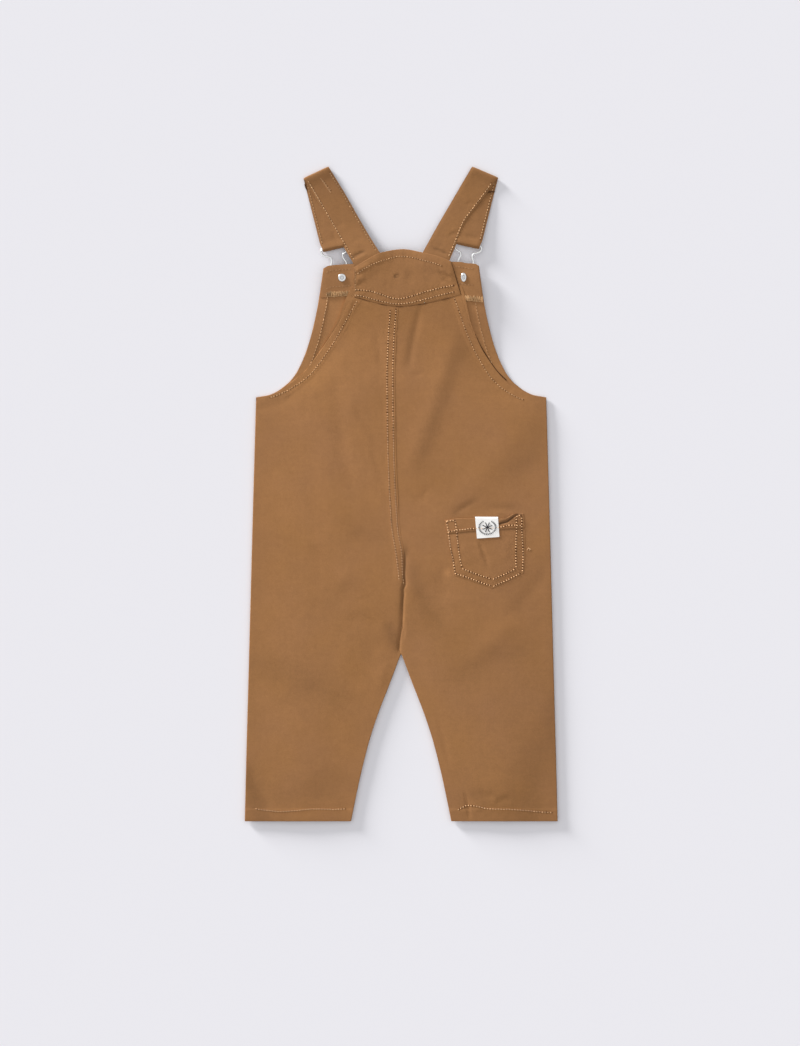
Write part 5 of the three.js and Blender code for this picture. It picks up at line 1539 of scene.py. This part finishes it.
def lathe(profile, segments):
    """Points and faces of a turned body from (radius, height) pairs, axis ends included."""
    points, faces = [(0, 0, profile[0][1])], []
    rings = profile[1:-1]
    for r, z in rings:
        for s in range(segments):
            turn = 2 * math.pi * s / segments
            points.append((r * math.cos(turn), r * math.sin(turn), z))
    points.append((0, 0, profile[-1][1]))
    last = len(points) - 1
    for s in range(segments):
        t = (s + 1) % segments
        faces.append((0, 1 + t, 1 + s))
        for k in range(len(rings) - 1):
            a, b = 1 + k * segments + s, 1 + k * segments + t
            faces.append((a, b, b + segments, a + segments))
        top = 1 + (len(rings) - 1) * segments
        faces.append((top + s, top + t, last))
    return np.array(points), faces


def fasteners(side):
    bx, bh = STRAPS[side]["button"]
    rim = BUTTON_THICKNESS
    r = BUTTON_RADIUS
    head = [(0, 0.25), (r * 0.55, 0.25), (r * 0.6, 0.05), (r * 0.78, 0.0), (r * 0.92, 0.25), (r, 1.0),
            (r - 0.2, 1.7), (r - 0.6, rim - 0.15), (r - 1.4, rim), (NECK_RADIUS + 0.6, rim),
            (NECK_RADIUS, rim + 0.4), (NECK_RADIUS, HARDWARE_LIFT - GAP), (0, HARDWARE_LIFT - GAP)]
    points, faces = lathe(head, 64)
    points = points + np.array([bx, bh, 0])
    make_piece(f"button_{side}_head", points, faces, "button", [f"button_{side}"], sharp=40)

    seat = HARDWARE_LIFT + 2 * WALL + 0.05
    rt = TACK_RADIUS
    back = [(0, seat - 2.5), (1.0, seat - 2.4), (1.0, seat), (rt - 0.2, seat), (rt, seat + 0.3),
            (rt - 0.15, seat + 0.7), (rt - 0.6, seat + 1.0), (rt - 1.2, seat + 1.15), (rt - 1.7, seat + 1.08),
            (rt - 2.1, seat + 0.95), (1.2, seat + 1.0), (0.6, seat + 1.12), (0, seat + 1.15)]
    centre = [(0, seat + 0.9), (1.9, seat + 0.9), (1.95, seat + 1.08), (1.5, seat + 1.16), (1.1, seat + 1.02),
              (0.6, seat + 1.1), (0, seat + 1.22)]
    shape = np.array([0.98, 0.98, 1.0] if side == "left" else [0.7, 1.14, 1.0])
    parts = (("back", back, "button", [f"tack_{side}"]), ("centre", centre, "worn", []))
    for part, profile, material, nodes in parts:
        points, faces = lathe(profile, 48)
        points = points * shape + np.array([bx, bh, 0])
        make_piece(f"tack_{side}_{part}", points, faces, material, nodes, sharp=40)


# ---------------------------------------------------------------- assembly

build_stage()
fronts = [front_panel(side) for side in (-1, 1)]
front_rows = Sewing(44)
front_top = drop_on(*fronts)
for side in (-1, 1):
    front_rows.row(front_arm_path(side, 8.0), front_top, thread=0.24 if side < 0 else 0.18, hole=0.32)
front_rows.finish("front_armholes")
under_rows = Sewing(48)
for path in UNDER_ROWS:
    under_rows.row(path, front_under, thread=0.24, hole=0, facing=-1)
under_rows.finish("front_rows_below")
facing = bib_facing()
backs = [back_panel(side) for side in (-1, 1)]
back_yoke()
# A thin dark strip of painted shadow under the yoke's foot, lying on the back panels.
yoke_shadow_strip = Sewing(46)
px = np.linspace(-44, 50, 70)
ph = yoke_foot(px) - 0.45
wide = 0.08 + 0.2 * smooth(0.5 + waves(px, ph, 47, 12, 4))
yoke_shadow_strip.lay(px, ph, drop_on(*backs), 0.02, wide, 5, 1.3)
yoke_shadow_strip.finish("yoke_foot_painted_shadow", "shadow")
pocket()
label()
# A thin dark strip of painted shadow on the bib along the right back panel's armhole edge.
turned = Sewing(45)
px, ph, _, _ = along_path(TURNED_EDGE, 1.6)
wide = 0.45 * np.clip(np.linspace(0.4, 6, len(px)), 0, 1)
turned.lay(px, ph, drop_on(*fronts, facing), 0.08, wide, 6)
turned.finish("armhole_painted_shadow", "shadow")
for side in ("left", "right"):
    strap(side)
    buckle(side)
    fasteners(side)
